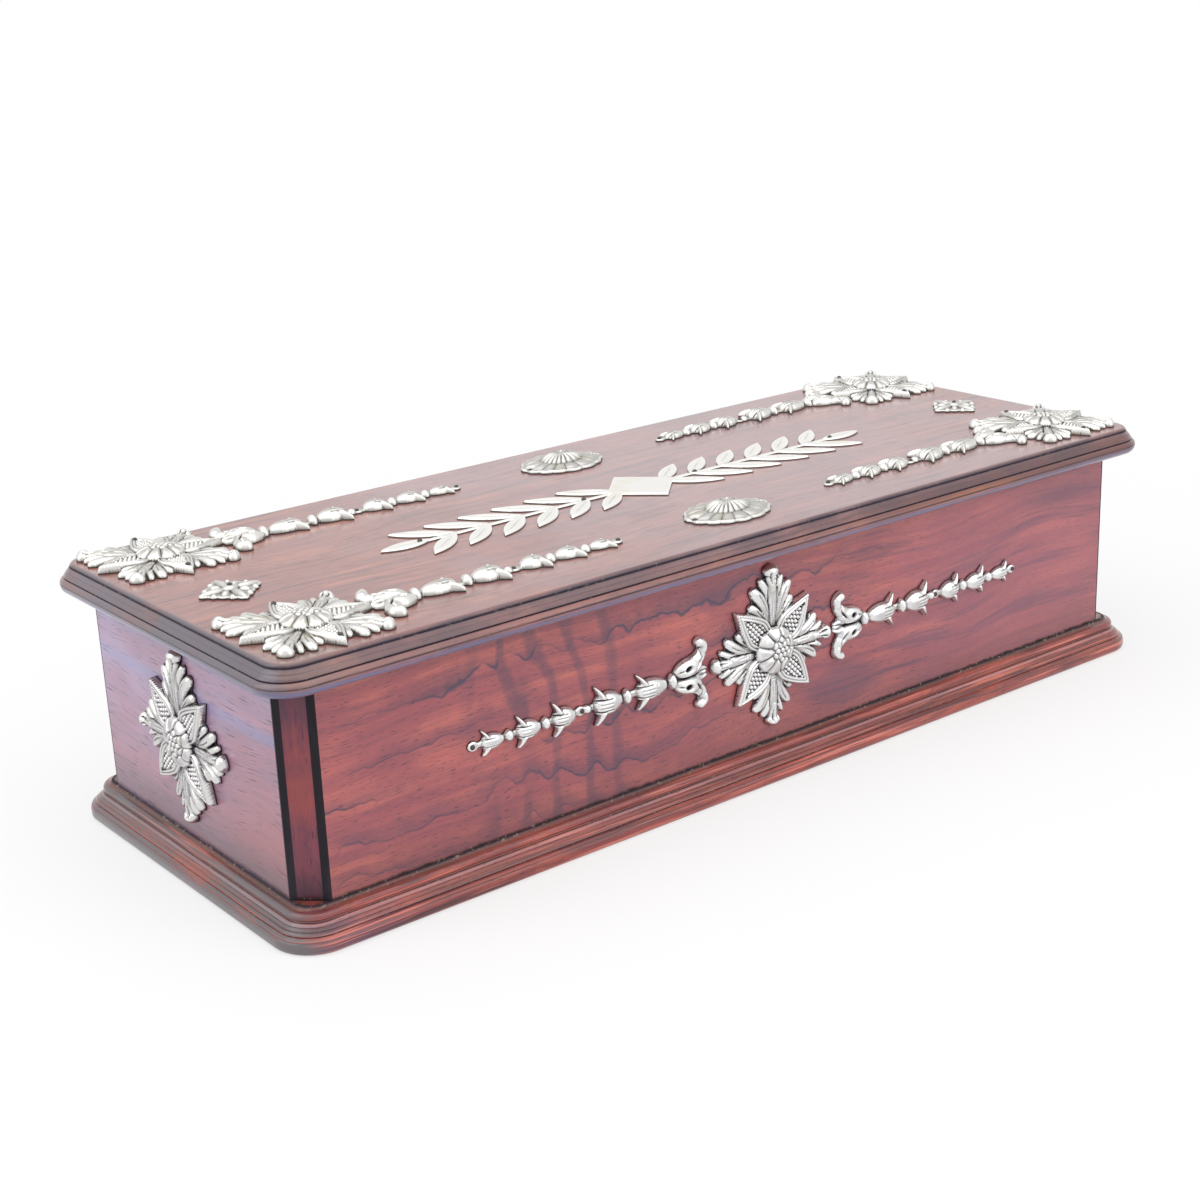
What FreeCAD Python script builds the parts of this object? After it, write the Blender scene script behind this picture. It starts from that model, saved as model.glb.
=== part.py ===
"""Hinged wooden box with canted corners, moulded lid and plinth, and stamped silver mounts.

Millimetres, +Z up. The origin is the centre of the underside of the plinth, +X runs along
the length and -Y is the front.
"""
import FreeCAD, Part
import math
import os
import re
import Sketcher

QUARTER_TURN = 90
HALF_TURN = 180
FULL_TURN = 360
FOURFOLD = 4
SIDES = (-1, 1)
THIRDS = (-1, 0, 1)
STRAIGHT = 1e-6
VECTOR = FreeCAD.Vector

SIZES = {
    # Carcass
    "box_length": 360,
    "box_width": 129,
    "wall_height": 66,
    "wall_thickness": 8,
    "cant_leg": 8.5,
    "string_width": 2.2,
    "post_shoulder": 0.5,
    "tongue_depth": 2.4,
    "tongue_thickness": 2,
    "tongue_setback": 3.6,
    # Plinth board, its edge moulding given from the wall face outwards
    "plinth_height": 12,
    "plinth_overhang": 8,
    "plinth_corner_radius": 6,
    "toe_radius": 1,
    "shoulder_radius": 1.75,
    "plinth_quirk": 0.4,
    "fillet_overhang": 5.9,
    "fillet_height": 1.1,
    "shelf_overhang": 5.2,
    "shelf_fall": 0.9,
    "bead_overhang": 3.2,
    "bead_height": 2.8,
    "bead_radius": 1.2,
    "ledge_fall": 1,
    # Lid board, its edge moulding given from the wall face outwards
    "lid_gap": 0.2,
    "lid_overhang": 8,
    "lid_corner_radius": 4,
    "nose_radius": 2.9,
    "quirk_depth": 0.45,
    "quirk_rise": 0.4,
    "lower_band_overhang": 5.2,
    "upper_band_overhang": 4.4,
    "band_slope": 0.7,
    "band_rise": 0.85,
    "field_overhang": 3.3,
    "field_step": 1,
    # Linings
    "lining_thickness": 1.5,
    "lining_drop": 2,
    "lid_lining_margin": 1.5,
    # Hinges
    "hinge_length": 36,
    "hinge_offset": 112,
    "hinge_reach": 6.5,
    "leaf_thickness": 1.1,
    "knuckle_radius": 2.2,
    "knuckle_length": 11.8,
    "knuckle_gap": 0.3,
    "knuckle_room": 0.3,
    "knuckle_stand_off": 1.4,
    "hinge_pin_radius": 1,
    "running_clearance": 0.05,
    "hinge_screw_pitch": 12,
    "hinge_screw_head_radius": 1.7,
    "hinge_screw_head_depth": 0.9,
    "hinge_screw_radius": 0.8,
    "hinge_screw_length": 6,
    "hinge_screw_setback": 3.8,
    # Screws that hold the walls down on the plinth board
    "base_screw_head_radius": 3.2,
    "base_screw_head_depth": 2.4,
    "base_screw_radius": 1.6,
    "base_screw_length": 26,
    "base_screw_pitch": 120,
    "slot_width": 0.5,
    "slot_depth": 0.4,
    "screw_clearance": 0.1,
    # Pins that hold the mounts
    "mount_pin_radius": 0.45,
    "mount_pin_head_radius": 0.85,
    "mount_pin_head_height": 0.6,
    "mount_pin_bite": 4.5,
    "mount_pin_clearance": 0.05,
    # Rosettes
    "rosette_reach": 27,
    "leaf_half_width": 4.4,
    "leaf_relief": 2.2,
    "petal_reach": 22,
    "petal_half_width": 5.2,
    "petal_relief": 2.8,
    "petal_rim": 1.3,
    "petal_sink": 0.7,
    "boss_radius": 7.6,
    "boss_height": 5,
    # Garlands
    "garland_length": 92,
    "garland_half_width": 6.1,
    "garland_relief": 3.4,
    "garland_web": 0.8,
    "collar_half_width": 12,
    # Oval paterae
    "patera_half_length": 17.3,
    "patera_half_width": 13.8,
    "patera_plate": 1.2,
    "patera_dome_height": 4,
    # Lozenges and the flat spray in the middle of the lid
    "lozenge_radius": 11,
    "lozenge_plate": 1,
    "lozenge_relief": 2.4,
    "spray_length": 214,
    "spray_half_width": 15,
    "spray_plate": 1,
    # Places of the mounts
    "rosette_inset": 22.7,
    "front_garland_gap": 2.8,
    "lid_garland_gap": 1.4,
}

# Levels and places derived from the sizes
WALL_TOP = "(plinth_height + wall_height)"
LID_BOTTOM = f"({WALL_TOP} + lid_gap)"
LID_THICKNESS = "(2 * (nose_radius + quirk_rise + band_rise) + field_step)"
LID_TOP = f"({LID_BOTTOM} + {LID_THICKNESS})"
POST_REACH = "(max(cant_leg; wall_thickness) + post_shoulder)"
STRING_LEG = f"(string_width * {math.sqrt(0.5)})"
TONGUE_END = f"({POST_REACH} - tongue_depth)"
TONGUE_BACK = "(tongue_setback + tongue_thickness)"
AXIS_Y = "(box_width / 2 + knuckle_stand_off)"
AXIS_Z = f"({WALL_TOP} + lid_gap / 2)"

# Shares of a rosette leaf: length, width, place and turn of its lobes
LOBE_SHARES = ((0.37, 1.0, 0.63, 0), (0.27, 0.62, 0.53, 24), (0.27, 0.62, 0.53, -24))
PETAL_START_SHARE = 0.22
PIN_REACH_SHARE = 0.84
# Share by which a dome outgrows the outline that it fills
DOME_LENGTH_SHARE = 1.25
DOME_WIDTH_SHARE = 1.45

# Shares of the garland's length: neck and mouth of each bell, and of its half width
BELL_SHARES = (
    (0.185, 0.311, 0.90),
    (0.391, 0.489, 1.00),
    (0.580, 0.664, 0.85),
    (0.728, 0.811, 0.79),
    (0.876, 0.953, 0.62),
)
BEAD_SHARES = (0.157, 0.361, 0.705, 0.854)
PIN_BEAD_SHARES = (0.538, 0.985)
BELLY_SHARE = 0.64
LIP_LENGTH_SHARE = 0.45
LIP_WIDTH_SHARE = 0.2
LIP_TURN = 38
BEAD_LENGTH_SHARE = 0.26
BEAD_WIDTH_SHARE = 0.42
PIN_BEAD_RADIUS_SHARE = 0.36
WEB_WIDTH_SHARE = 0.22
WEB_START_SHARE = 0.05
BELL_RELIEF_SHARE = 0.9
BEAD_RELIEF_SHARE = 0.62
PIN_BEAD_RELIEF_SHARE = 0.3
# Shares of the garland's length and of the collar's half width
COLLAR_EYE_SHARES = (0.095, 0.27, 0.058, 0.25)
HORN_SHARES = (0.035, 0.62, 0.066, 0.17)
HORN_TURN = 122
HORN_TIP_SHARES = (0.006, 0.94, 0.15)

PATERA_SCALLOPS = 14
SCALLOP_SHARES = (0.80, 0.2, 0.62)
PATERA_DOME_SHARE = 0.56
PATERA_PIN_SHARE = 0.83

LOZENGE_PETAL_SHARES = (0.44, 0.42, 0.16)
LOZENGE_BOSS_SHARE = 0.26

SPRAY_LEAF_PAIRS = 6
SPRAY_STEM_SHARES = (0.46, 0.07)
SPRAY_LEAF_SHARES = (0.105, 0.20)
SPRAY_FIRST_SHARE = 0.085
SPRAY_PITCH_SHARE = 0.064
SPRAY_LEAF_TURN = 38
SPRAY_LEAF_RISE_SHARE = 0.46
SPRAY_TIP_SHARES = (0.455, 0.045, 0.2)
SPRAY_PIN_SHARES = (-0.43, -0.117, 0.117, 0.43)

doc = FreeCAD.newDocument("wooden_box")
sheet = doc.addObject("Spreadsheet::Sheet", "sizes")
for row, (alias, number) in enumerate(SIZES.items(), start=1):
    sheet.set(f"A{row}", alias)
    sheet.set(f"B{row}", str(number))
    sheet.setAlias(f"B{row}", alias)
doc.recompute()
nodes = []


def formula(text):
    """Writes each size named in a formula as a reference to its cell."""
    return re.sub(r"[a-z_]+", lambda word: f"sizes.{word[0]}" if word[0] in SIZES else word[0], text)


def value(text):
    """Gives what a formula comes to."""
    return float(sheet.evalExpression(formula(text)))


def turned(*turns):
    """Combines turns in degrees about named axes, the first one applied first."""
    axes = {"x": VECTOR(1, 0, 0), "y": VECTOR(0, 1, 0), "z": VECTOR(0, 0, 1)}
    rotation = FreeCAD.Rotation()
    for axis, degrees in turns:
        rotation = FreeCAD.Rotation(axes[axis], degrees) * rotation
    return rotation


def put(obj, place, rotation=None):
    """Turns an object and binds its place to formulas."""
    obj.Placement = FreeCAD.Placement(VECTOR(0, 0, 0), rotation or FreeCAD.Rotation())
    for axis, text in zip("xyz", place):
        obj.setExpression(f"Placement.Base.{axis}", formula(text))
    return obj


def solid(kind, name, sizes, place=("0", "0", "0"), rotation=None):
    """Makes a Part primitive whose sizes and place are formulas."""
    obj = put(doc.addObject(f"Part::{kind}", name), place, rotation)
    for prop, text in sizes.items():
        obj.setExpression(prop, formula(text))
    return obj


def block(name, low, high):
    """Makes a box between two corners."""
    spans = [f"({end}) - ({start})" for start, end in zip(low, high)]
    return solid("Box", name, dict(zip(("Length", "Width", "Height"), spans)), low)


def bar(name, radius, length, place, rotation=None):
    """Makes a round bar along +Z, turned and placed."""
    return solid("Cylinder", name, {"Radius": radius, "Height": length}, place, rotation)


def dome(name, half_length, half_width, height, place=("0", "0", "0"), rotation=None):
    """Makes the upper half of an ellipsoid."""
    sizes = {"Radius1": height, "Radius2": half_length, "Radius3": half_width}
    obj = solid("Ellipsoid", name, sizes, place, rotation)
    obj.Angle1 = 0
    return obj


def boolean(kind, name, shapes):
    """Joins shapes, or keeps what they share."""
    obj = doc.addObject(f"Part::{kind}", name)
    obj.Shapes = shapes
    return obj


def cut(name, base, tool):
    """Cuts a tool out of a base."""
    obj = doc.addObject("Part::Cut", name)
    obj.Base = base
    obj.Tool = tool
    return obj


def group(name, shapes, place=("0", "0", "0"), rotation=None):
    """Holds shapes together without joining them, turned and placed as one."""
    obj = doc.addObject("Part::Compound", name)
    obj.Links = shapes
    return put(obj, place, rotation)


def node(obj, label):
    """Gives a finished sub-part its name."""
    obj.Label = label
    nodes.append(obj)
    return obj


def origin_plane(body, role):
    """Finds one of a body's own origin planes."""
    return next(part for part in body.Origin.OriginFeatures if part.Role == role)


def outline(body, name, role, corners, level=None):
    """Draws an outline on an origin plane, each corner bound to formulas.

    A corner is (x, y) at the end of a line, or (x, y, centre x) at the end of a convex arc
    that starts at the corner before it. Corners run counter-clockwise.
    """
    sketch = body.newObject("Sketcher::SketchObject", name)
    sketch.AttachmentSupport = (origin_plane(body, role), [""])
    sketch.MapMode = "FlatFace"
    if level:
        sketch.setExpression("AttachmentOffset.Base.z", formula(level))
    points = [VECTOR(value(corner[0]), value(corner[1]), 0) for corner in corners]
    count = len(corners)
    for index in range(count):
        end = (index + 1) % count
        start_point, end_point = points[index], points[end]
        if len(corners[end]) == 2:
            sketch.addGeometry(Part.LineSegment(start_point, end_point), False)
            continue
        middle_x = value(corners[end][2])
        chord = end_point - start_point
        middle = (start_point + end_point) / 2
        if abs(chord.x) < abs(chord.y) * STRAIGHT:
            centre = VECTOR(middle_x, middle.y, 0)
        else:
            centre = VECTOR(middle_x, middle.y - (middle_x - middle.x) * chord.x / chord.y, 0)
        circle = Part.Circle(centre, VECTOR(0, 0, 1), (start_point - centre).Length)
        angles = [math.atan2(point.y - centre.y, point.x - centre.x) for point in (start_point, end_point)]
        arc = sketch.addGeometry(Part.ArcOfCircle(circle, *angles), False)
        bind_constraint(sketch, "DistanceX", arc, 3, f"centre{index}", corners[end][2])
    for index, corner in enumerate(corners):
        sketch.addConstraint(Sketcher.Constraint("Coincident", index, 2, (index + 1) % count, 1))
        bind_constraint(sketch, "DistanceX", index, 1, f"across{index}", corner[0])
        bind_constraint(sketch, "DistanceY", index, 1, f"up{index}", corner[1])
    return sketch


def bind_constraint(sketch, kind, geometry, point, name, text):
    """Holds a point of a sketch at a formula's distance from the origin."""
    index = sketch.addConstraint(Sketcher.Constraint(kind, geometry, point, value(text)))
    sketch.renameConstraint(index, name)
    sketch.setExpression(f"Constraints.{name}", formula(text))


def upright(name, corners, level, height):
    """Makes a body that stands on a level and has one section all the way up."""
    body = doc.addObject("PartDesign::Body", name)
    sketch = outline(body, f"{name}_section", "XY_Plane", corners, level)
    pad = body.newObject("PartDesign::Pad", f"{name}_pad")
    pad.Profile = sketch
    pad.setExpression("Length", formula(height))
    return body


def moulded_board(name, radius, profile, bottom, thickness):
    """Makes a board with a moulding run round its edge and rounded corners.

    The moulding is swept along the wall line, whose corners have the given radius. The
    profile is (overhang, level) pairs, and its ends lap half that radius over the core.
    """
    body = doc.addObject("PartDesign::Body", name)
    far_x, far_y = "box_length / 2", "box_width / 2"
    near_x, near_y = f"({far_x} - {radius})", f"({far_y} - {radius})"
    path = [(far_x, "0"), (far_x, near_y)]
    path += [(near_x, far_y, near_x), (f"-{near_x}", far_y)]
    path += [(f"-({far_x})", near_y, f"-{near_x}"), (f"-({far_x})", f"-{near_y}")]
    path += [(f"-{near_x}", f"-({far_y})", f"-{near_x}"), (near_x, f"-({far_y})")]
    path += [(far_x, f"-{near_y}", near_x)]
    spine = outline(body, f"{name}_path", "XY_Plane", path, bottom)
    lap = f"-{radius} / 2"
    corners = [(lap, profile[0][1]), *profile, (lap, profile[-1][1])]
    section = [(f"{far_x} + {across}", up, *(f"{far_x} + {centre}" for centre in centres))
               for across, up, *centres in corners]
    edge = outline(body, f"{name}_profile", "XZ_Plane", section)
    pad = body.newObject("PartDesign::Pad", f"{name}_core")
    lap_x, lap_y = f"({far_x} - {radius} / 4)", f"({far_y} - {radius} / 4)"
    core = [(f"-{lap_x}", f"-{lap_y}"), (lap_x, f"-{lap_y}"), (lap_x, lap_y), (f"-{lap_x}", lap_y)]
    pad.Profile = outline(body, f"{name}_field", "XY_Plane", core, bottom)
    pad.setExpression("Length", formula(thickness))
    doc.recompute()
    sweep = body.newObject("PartDesign::AdditivePipe", f"{name}_moulding")
    sweep.Profile = edge
    sweep.Spine = (spine, [f"Edge{number}" for number in range(1, len(path) + 1)])
    return body


def corner_point(along, across, depth_x, depth_y):
    """Gives the place at a depth from a corner of the carcass, on the side that the signs name."""
    return (f"{along} * (box_length / 2 - ({depth_x}))", f"{across} * (box_width / 2 - ({depth_y}))")


def corner_section(along, across, depths):
    """Turns depths from a corner of the carcass into a counter-clockwise section."""
    section = [corner_point(along, across, *depth) for depth in depths]
    return section if along * across > 0 else section[::-1]


def screw(name, head_radius, head_depth, radius, length):
    """Makes a countersunk screw, head up, with its slot, and the hole that it needs."""
    head = solid("Cone", f"{name}_head", {"Radius1": radius, "Radius2": head_radius, "Height": head_depth},
                 ("0", "0", f"-{head_depth}"))
    shank = bar(f"{name}_shank", radius, f"{length} - {head_depth} / 2", ("0", "0", f"-{length}"))
    slot = block(f"{name}_slot", (f"-{head_radius}", "-slot_width / 2", "-slot_depth"),
                 (head_radius, "slot_width / 2", "slot_depth"))
    body = cut(name, boolean("MultiFuse", f"{name}_blank", [head, shank]), slot)
    sink = solid("Cone", f"{name}_sink", {"Radius1": f"{radius} + screw_clearance",
                 "Radius2": f"{head_radius} + screw_clearance", "Height": head_depth},
                 ("0", "0", f"-{head_depth}"))
    pilot = bar(f"{name}_pilot", f"{radius} + screw_clearance", f"{length} + screw_clearance",
                ("0", "0", f"-({length}) - screw_clearance"))
    return body, boolean("MultiFuse", f"{name}_hole", [sink, pilot])


def flat_blade(name, half_length, half_width, height):
    """Makes a flat pointed leaf shape along X."""
    radius = f"(({half_length})^2 + ({half_width})^2) / (2 * ({half_width}))"
    sides = []
    for side in SIDES:
        place = ("0", f"{side} * ({radius} - ({half_width}))", "0")
        sides.append(bar(f"{name}_side{side + 1}", radius, height, place))
    return boolean("MultiCommon", name, sides)


def blade(name, half_length, half_width, height):
    """Makes a pointed leaf shape along X, domed on top."""
    crown = dome(f"{name}_crown", f"{half_length} * {DOME_LENGTH_SHARE}",
                 f"{half_width} * {DOME_WIDTH_SHARE}", height)
    return boolean("MultiCommon", name, [flat_blade(f"{name}_flat", half_length, half_width, height), crown])


def spoke(name, shape, reach, degrees, rise="0"):
    """Copies a shape to a distance from the origin, turned to point away from it."""
    angle = math.radians(degrees)
    place = (f"({reach}) * {math.cos(angle)}", f"({reach}) * {math.sin(angle)}", rise)
    return group(name, [shape], place, turned(("z", degrees)))


def mount_pin(name, seat, places):
    """Makes the pins of a mount and the holes that they need, seated at a height."""
    pins, holes = [], []
    for index, (along, across) in enumerate(places):
        head = dome(f"{name}_head{index}", "mount_pin_head_radius", "mount_pin_head_radius",
                    "mount_pin_head_height", (along, across, seat))
        shank = bar(f"{name}_shank{index}", "mount_pin_radius", f"{seat} + mount_pin_bite",
                    (along, across, "-mount_pin_bite"))
        pins.append(boolean("MultiFuse", f"{name}_pin{index}", [head, shank]))
        holes.append(bar(f"{name}_hole{index}", "mount_pin_radius + mount_pin_clearance",
                         f"{seat} + mount_pin_bite + mount_pin_clearance",
                         (along, across, "-mount_pin_bite - mount_pin_clearance")))
    rooms = [bar(f"{name}_room{index}", "mount_pin_head_radius + mount_pin_clearance", "boss_height",
                 (along, across, seat)) for index, (along, across) in enumerate(places)]
    bores = group(f"{name}_bores", holes)
    return group(f"{name}_pins", pins), bores, group(f"{name}_rooms", [*rooms, bores])


def rosette():
    """Makes the rosette: four lobed leaves, four rimmed petals between them and a boss."""
    lobes = []
    for index, (length, width, place, degrees) in enumerate(LOBE_SHARES):
        lobe = blade(f"leaf_lobe{index}", f"rosette_reach * {length}", f"leaf_half_width * {width}",
                     "leaf_relief")
        lobes.append(spoke(f"leaf_lobe{index}_placed", lobe, f"rosette_reach * {place}", degrees))
    leaf = boolean("MultiFuse", "rosette_leaf", lobes)
    petal_half = f"petal_reach * {(1 - PETAL_START_SHARE) / 2}"
    petal_place = f"petal_reach * {(1 + PETAL_START_SHARE) / 2}"
    blank = blade("petal_blank", petal_half, "petal_half_width", "petal_relief")
    field = flat_blade("petal_field", f"{petal_half} - 2 * petal_rim", "petal_half_width - petal_rim",
                       "petal_relief")
    raised = group("petal_field_raised", [field], ("0", "0", "petal_relief - petal_sink"))
    petal = cut("rosette_petal", blank, raised)
    shapes = [dome("rosette_boss", "boss_radius", "boss_radius", "boss_height")]
    for index in range(FOURFOLD):
        degrees = index * QUARTER_TURN
        shapes.append(spoke(f"leaf{index}", leaf, "0", degrees))
        shapes.append(spoke(f"petal{index}", petal, petal_place, degrees + QUARTER_TURN / 2))
    joined = boolean("MultiFuse", "rosette_joined", shapes)
    spot = f"petal_reach * {PIN_REACH_SHARE * math.sqrt(0.5)}"
    pins, bores, rooms = mount_pin("rosette_fixing", "petal_relief", [(spot, spot), (f"-{spot}", f"-{spot}")])
    return cut("rosette", joined, rooms), pins, bores


def garland():
    """Makes the garland: a horned collar, then bells that shrink along a thin web."""
    web = f"garland_half_width * {WEB_WIDTH_SHARE}"
    shapes = [block("garland_strip", (f"garland_length * {WEB_START_SHARE}", f"-{web}", "0"),
                    (f"garland_length * {PIN_BEAD_SHARES[-1]}", web, "garland_web"))]
    for index, (neck, mouth, width) in enumerate(BELL_SHARES):
        half_width = f"garland_half_width * {width}"
        middle, half = (neck + mouth) / 2, (mouth - neck) / 2
        shapes.append(dome(f"bell{index}", f"garland_length * {half}", f"{half_width} * {BELLY_SHARE}",
                           f"garland_relief * {BELL_RELIEF_SHARE * width}",
                           (f"garland_length * {middle}", "0", "0")))
        lip = blade(f"bell{index}_lip", f"garland_half_width * {LIP_LENGTH_SHARE * width * 2}",
                    f"garland_half_width * {LIP_WIDTH_SHARE}", f"garland_relief * {width / 2}")
        for side in SIDES:
            place = (f"garland_length * {mouth} - {half_width} * {LIP_LENGTH_SHARE}",
                     f"{side} * {half_width} * {BELLY_SHARE}", "0")
            shapes.append(group(f"bell{index}_lip{side + 1}", [lip], place, turned(("z", side * LIP_TURN))))
    for index, share in enumerate(BEAD_SHARES):
        shapes.append(dome(f"bead{index}", f"garland_half_width * {BEAD_LENGTH_SHARE}",
                           f"garland_half_width * {BEAD_WIDTH_SHARE}",
                           f"garland_relief * {BEAD_RELIEF_SHARE}", (f"garland_length * {share}", "0", "0")))
    for index, share in enumerate(PIN_BEAD_SHARES):
        shapes.append(bar(f"pin_bead{index}", f"garland_half_width * {PIN_BEAD_RADIUS_SHARE}",
                          f"garland_relief * {PIN_BEAD_RELIEF_SHARE}",
                          (f"garland_length * {share}", "0", "0")))
    eye_x, eye_y, eye_half, eye_width = COLLAR_EYE_SHARES
    horn_x, horn_y, horn_half, horn_width = HORN_SHARES
    tip_x, tip_y, tip_radius = HORN_TIP_SHARES
    horn = blade("horn", f"garland_length * {horn_half}", f"collar_half_width * {horn_width}",
                 f"garland_relief * {BEAD_RELIEF_SHARE}")
    for side in SIDES:
        shapes.append(dome(f"eye{side + 1}", f"garland_length * {eye_half}",
                           f"collar_half_width * {eye_width}", f"garland_relief * {BELL_RELIEF_SHARE}",
                           (f"garland_length * {eye_x}", f"{side} * collar_half_width * {eye_y}", "0")))
        shapes.append(group(f"horn{side + 1}", [horn],
                            (f"garland_length * {horn_x}", f"{side} * collar_half_width * {horn_y}", "0"),
                            turned(("z", side * HORN_TURN))))
        radius = f"collar_half_width * {tip_radius}"
        shapes.append(dome(f"horn_tip{side + 1}", radius, radius, f"garland_relief * {BEAD_RELIEF_SHARE}",
                           (f"garland_length * {tip_x}", f"{side} * collar_half_width * {tip_y}", "0")))
    joined = boolean("MultiFuse", "garland_joined", shapes)
    seat = f"garland_relief * {PIN_BEAD_RELIEF_SHARE}"
    places = [(f"garland_length * {share}", "0") for share in PIN_BEAD_SHARES]
    pins, bores, rooms = mount_pin("garland_fixing", seat, places)
    return cut("garland", joined, rooms), pins, bores


def patera():
    """Makes the oval patera: a scalloped plate with a dome in the middle."""
    reach, width, length = SCALLOP_SHARES
    shapes = [dome("patera_plate", f"patera_half_length * {reach}", f"patera_half_width * {reach}",
                   "patera_plate")]
    scallop = dome("patera_scallop", f"patera_half_width * {length / 2}", f"patera_half_width * {width}",
                   "patera_plate")
    for index in range(PATERA_SCALLOPS):
        degrees = (index + 0.5) * FULL_TURN / PATERA_SCALLOPS
        angle = math.radians(degrees)
        inset = f"patera_half_width * {length / 2}"
        place = (f"(patera_half_length - {inset}) * {math.cos(angle)}",
                 f"(patera_half_width - {inset}) * {math.sin(angle)}", "0")
        shapes.append(group(f"patera_scallop{index}", [scallop], place, turned(("z", degrees))))
    shapes.append(dome("patera_dome", f"patera_half_length * {PATERA_DOME_SHARE}",
                       f"patera_half_width * {PATERA_DOME_SHARE}", "patera_dome_height"))
    joined = boolean("MultiFuse", "patera_joined", shapes)
    spot = f"patera_half_length * {PATERA_PIN_SHARE}"
    pins, bores, rooms = mount_pin("patera_fixing", "patera_plate / 2", [(spot, "0"), (f"-{spot}", "0")])
    return cut("patera", joined, rooms), pins, bores


def lozenge():
    """Makes the lozenge: a four-sided plate with four petals and a pinned boss."""
    plate = doc.addObject("Part::Prism", "lozenge_plate_solid")
    plate.Polygon = FOURFOLD
    plate.setExpression("Circumradius", formula("lozenge_radius"))
    plate.setExpression("Height", formula("lozenge_plate"))
    place, half, width = LOZENGE_PETAL_SHARES
    petal = blade("lozenge_petal", f"lozenge_radius * {half}", f"lozenge_radius * {width}", "lozenge_relief")
    shapes = [plate]
    for index in range(FOURFOLD):
        shapes.append(spoke(f"lozenge_petal{index}", petal, f"lozenge_radius * {place}",
                            index * QUARTER_TURN))
    shapes.append(bar("lozenge_boss", f"lozenge_radius * {LOZENGE_BOSS_SHARE}", "lozenge_relief",
                      ("0", "0", "0")))
    joined = boolean("MultiFuse", "lozenge_joined", shapes)
    pins, bores, rooms = mount_pin("lozenge_fixing", "lozenge_relief", [("0", "0")])
    return cut("lozenge", joined, rooms), pins, bores


def spray():
    """Makes the flat spray: a stem with pairs of leaves that spring from a middle lozenge."""
    half, width = SPRAY_STEM_SHARES
    stem = f"spray_half_width * {width}"
    shapes = [block("spray_stem", (f"-spray_length * {half}", f"-{stem}", "0"),
                    (f"spray_length * {half}", stem, "spray_plate"))]
    middle = doc.addObject("Part::Prism", "spray_middle")
    middle.Polygon = FOURFOLD
    middle.setExpression("Circumradius", formula("spray_half_width"))
    middle.setExpression("Height", formula("spray_plate"))
    shapes.append(middle)
    length, leaf_width = SPRAY_LEAF_SHARES
    leaf = flat_blade("spray_leaf", f"spray_length * {length / 2}", f"spray_half_width * {leaf_width}",
                      "spray_plate")
    tip_place, tip_half, tip_width = SPRAY_TIP_SHARES
    tip = flat_blade("spray_tip", f"spray_length * {tip_half}", f"spray_half_width * {tip_width}",
                     "spray_plate")
    for end in SIDES:
        shapes.append(group(f"spray_tip{end + 1}", [tip], (f"{end} * spray_length * {tip_place}", "0", "0")))
        for pair in range(SPRAY_LEAF_PAIRS):
            along = f"{end} * spray_length * {SPRAY_FIRST_SHARE + pair * SPRAY_PITCH_SHARE}"
            for side in SIDES:
                place = (along, f"{side} * spray_half_width * {SPRAY_LEAF_RISE_SHARE}", "0")
                shapes.append(group(f"spray_leaf{end + 1}{pair}{side + 1}", [leaf], place,
                                    turned(("z", end * side * SPRAY_LEAF_TURN))))
    joined = boolean("MultiFuse", "spray_joined", shapes)
    places = [(f"spray_length * {share}", "0") for share in SPRAY_PIN_SHARES]
    pins, bores, rooms = mount_pin("spray_fixing", "spray_plate", places)
    return cut("spray", joined, rooms), pins, bores


# Mounts: each stamping is drawn once, lying on XY, and copied to its places
FACE_FRONT = turned(("x", QUARTER_TURN))
FACE_LEFT = turned(("x", QUARTER_TURN), ("z", -QUARTER_TURN))
FACE_RIGHT = turned(("x", QUARTER_TURN), ("z", QUARTER_TURN))
FACE_TOP = turned()
TURN_ROUND = turned(("z", HALF_TURN))
TURN_EIGHTH = turned(("z", QUARTER_TURN / 2))

rosette_set, garland_set, patera_set = rosette(), garland(), patera()
lozenge_set, spray_set = lozenge(), spray()
MOUNT_Z = "plinth_height + wall_height / 2"
FRONT_Y = "-box_width / 2"
FRONT_GARLAND_X = "(rosette_reach + front_garland_gap)"
LID_ROSETTE_X = "(box_length / 2 + field_overhang - rosette_inset)"
LID_ROSETTE_Y = "(box_width / 2 + field_overhang - rosette_inset)"
LID_GARLAND_X = f"({LID_ROSETTE_X} - petal_reach - lid_garland_gap)"

mount_places = [
    ("front_rosette", rosette_set, "front", ("0", FRONT_Y, MOUNT_Z), FACE_FRONT),
    ("front_garland_right", garland_set, "front", (FRONT_GARLAND_X, FRONT_Y, MOUNT_Z), FACE_FRONT),
    ("front_garland_left", garland_set, "front", (f"-{FRONT_GARLAND_X}", FRONT_Y, MOUNT_Z),
     FACE_FRONT * TURN_ROUND),
    ("left_end_rosette", rosette_set, "left", ("-box_length / 2", "0", MOUNT_Z), FACE_LEFT),
    ("right_end_rosette", rosette_set, "right", ("box_length / 2", "0", MOUNT_Z), FACE_RIGHT),
]
for across, depth_name in zip(SIDES, ("front", "back")):
    for along, side_name in zip(SIDES, ("left", "right")):
        mount_places.append((f"lid_rosette_{depth_name}_{side_name}", rosette_set, "lid",
                             (f"{along} * {LID_ROSETTE_X}", f"{across} * {LID_ROSETTE_Y}", LID_TOP),
                             TURN_EIGHTH))
        mount_places.append((f"lid_garland_{depth_name}_{side_name}", garland_set, "lid",
                             (f"{along} * {LID_GARLAND_X}", f"{across} * {LID_ROSETTE_Y}", LID_TOP),
                             FACE_TOP if along < 0 else TURN_ROUND))
    mount_places.append((f"lid_patera_{depth_name}", patera_set, "lid",
                         ("0", f"{across} * {LID_ROSETTE_Y}", LID_TOP), FACE_TOP))
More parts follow.
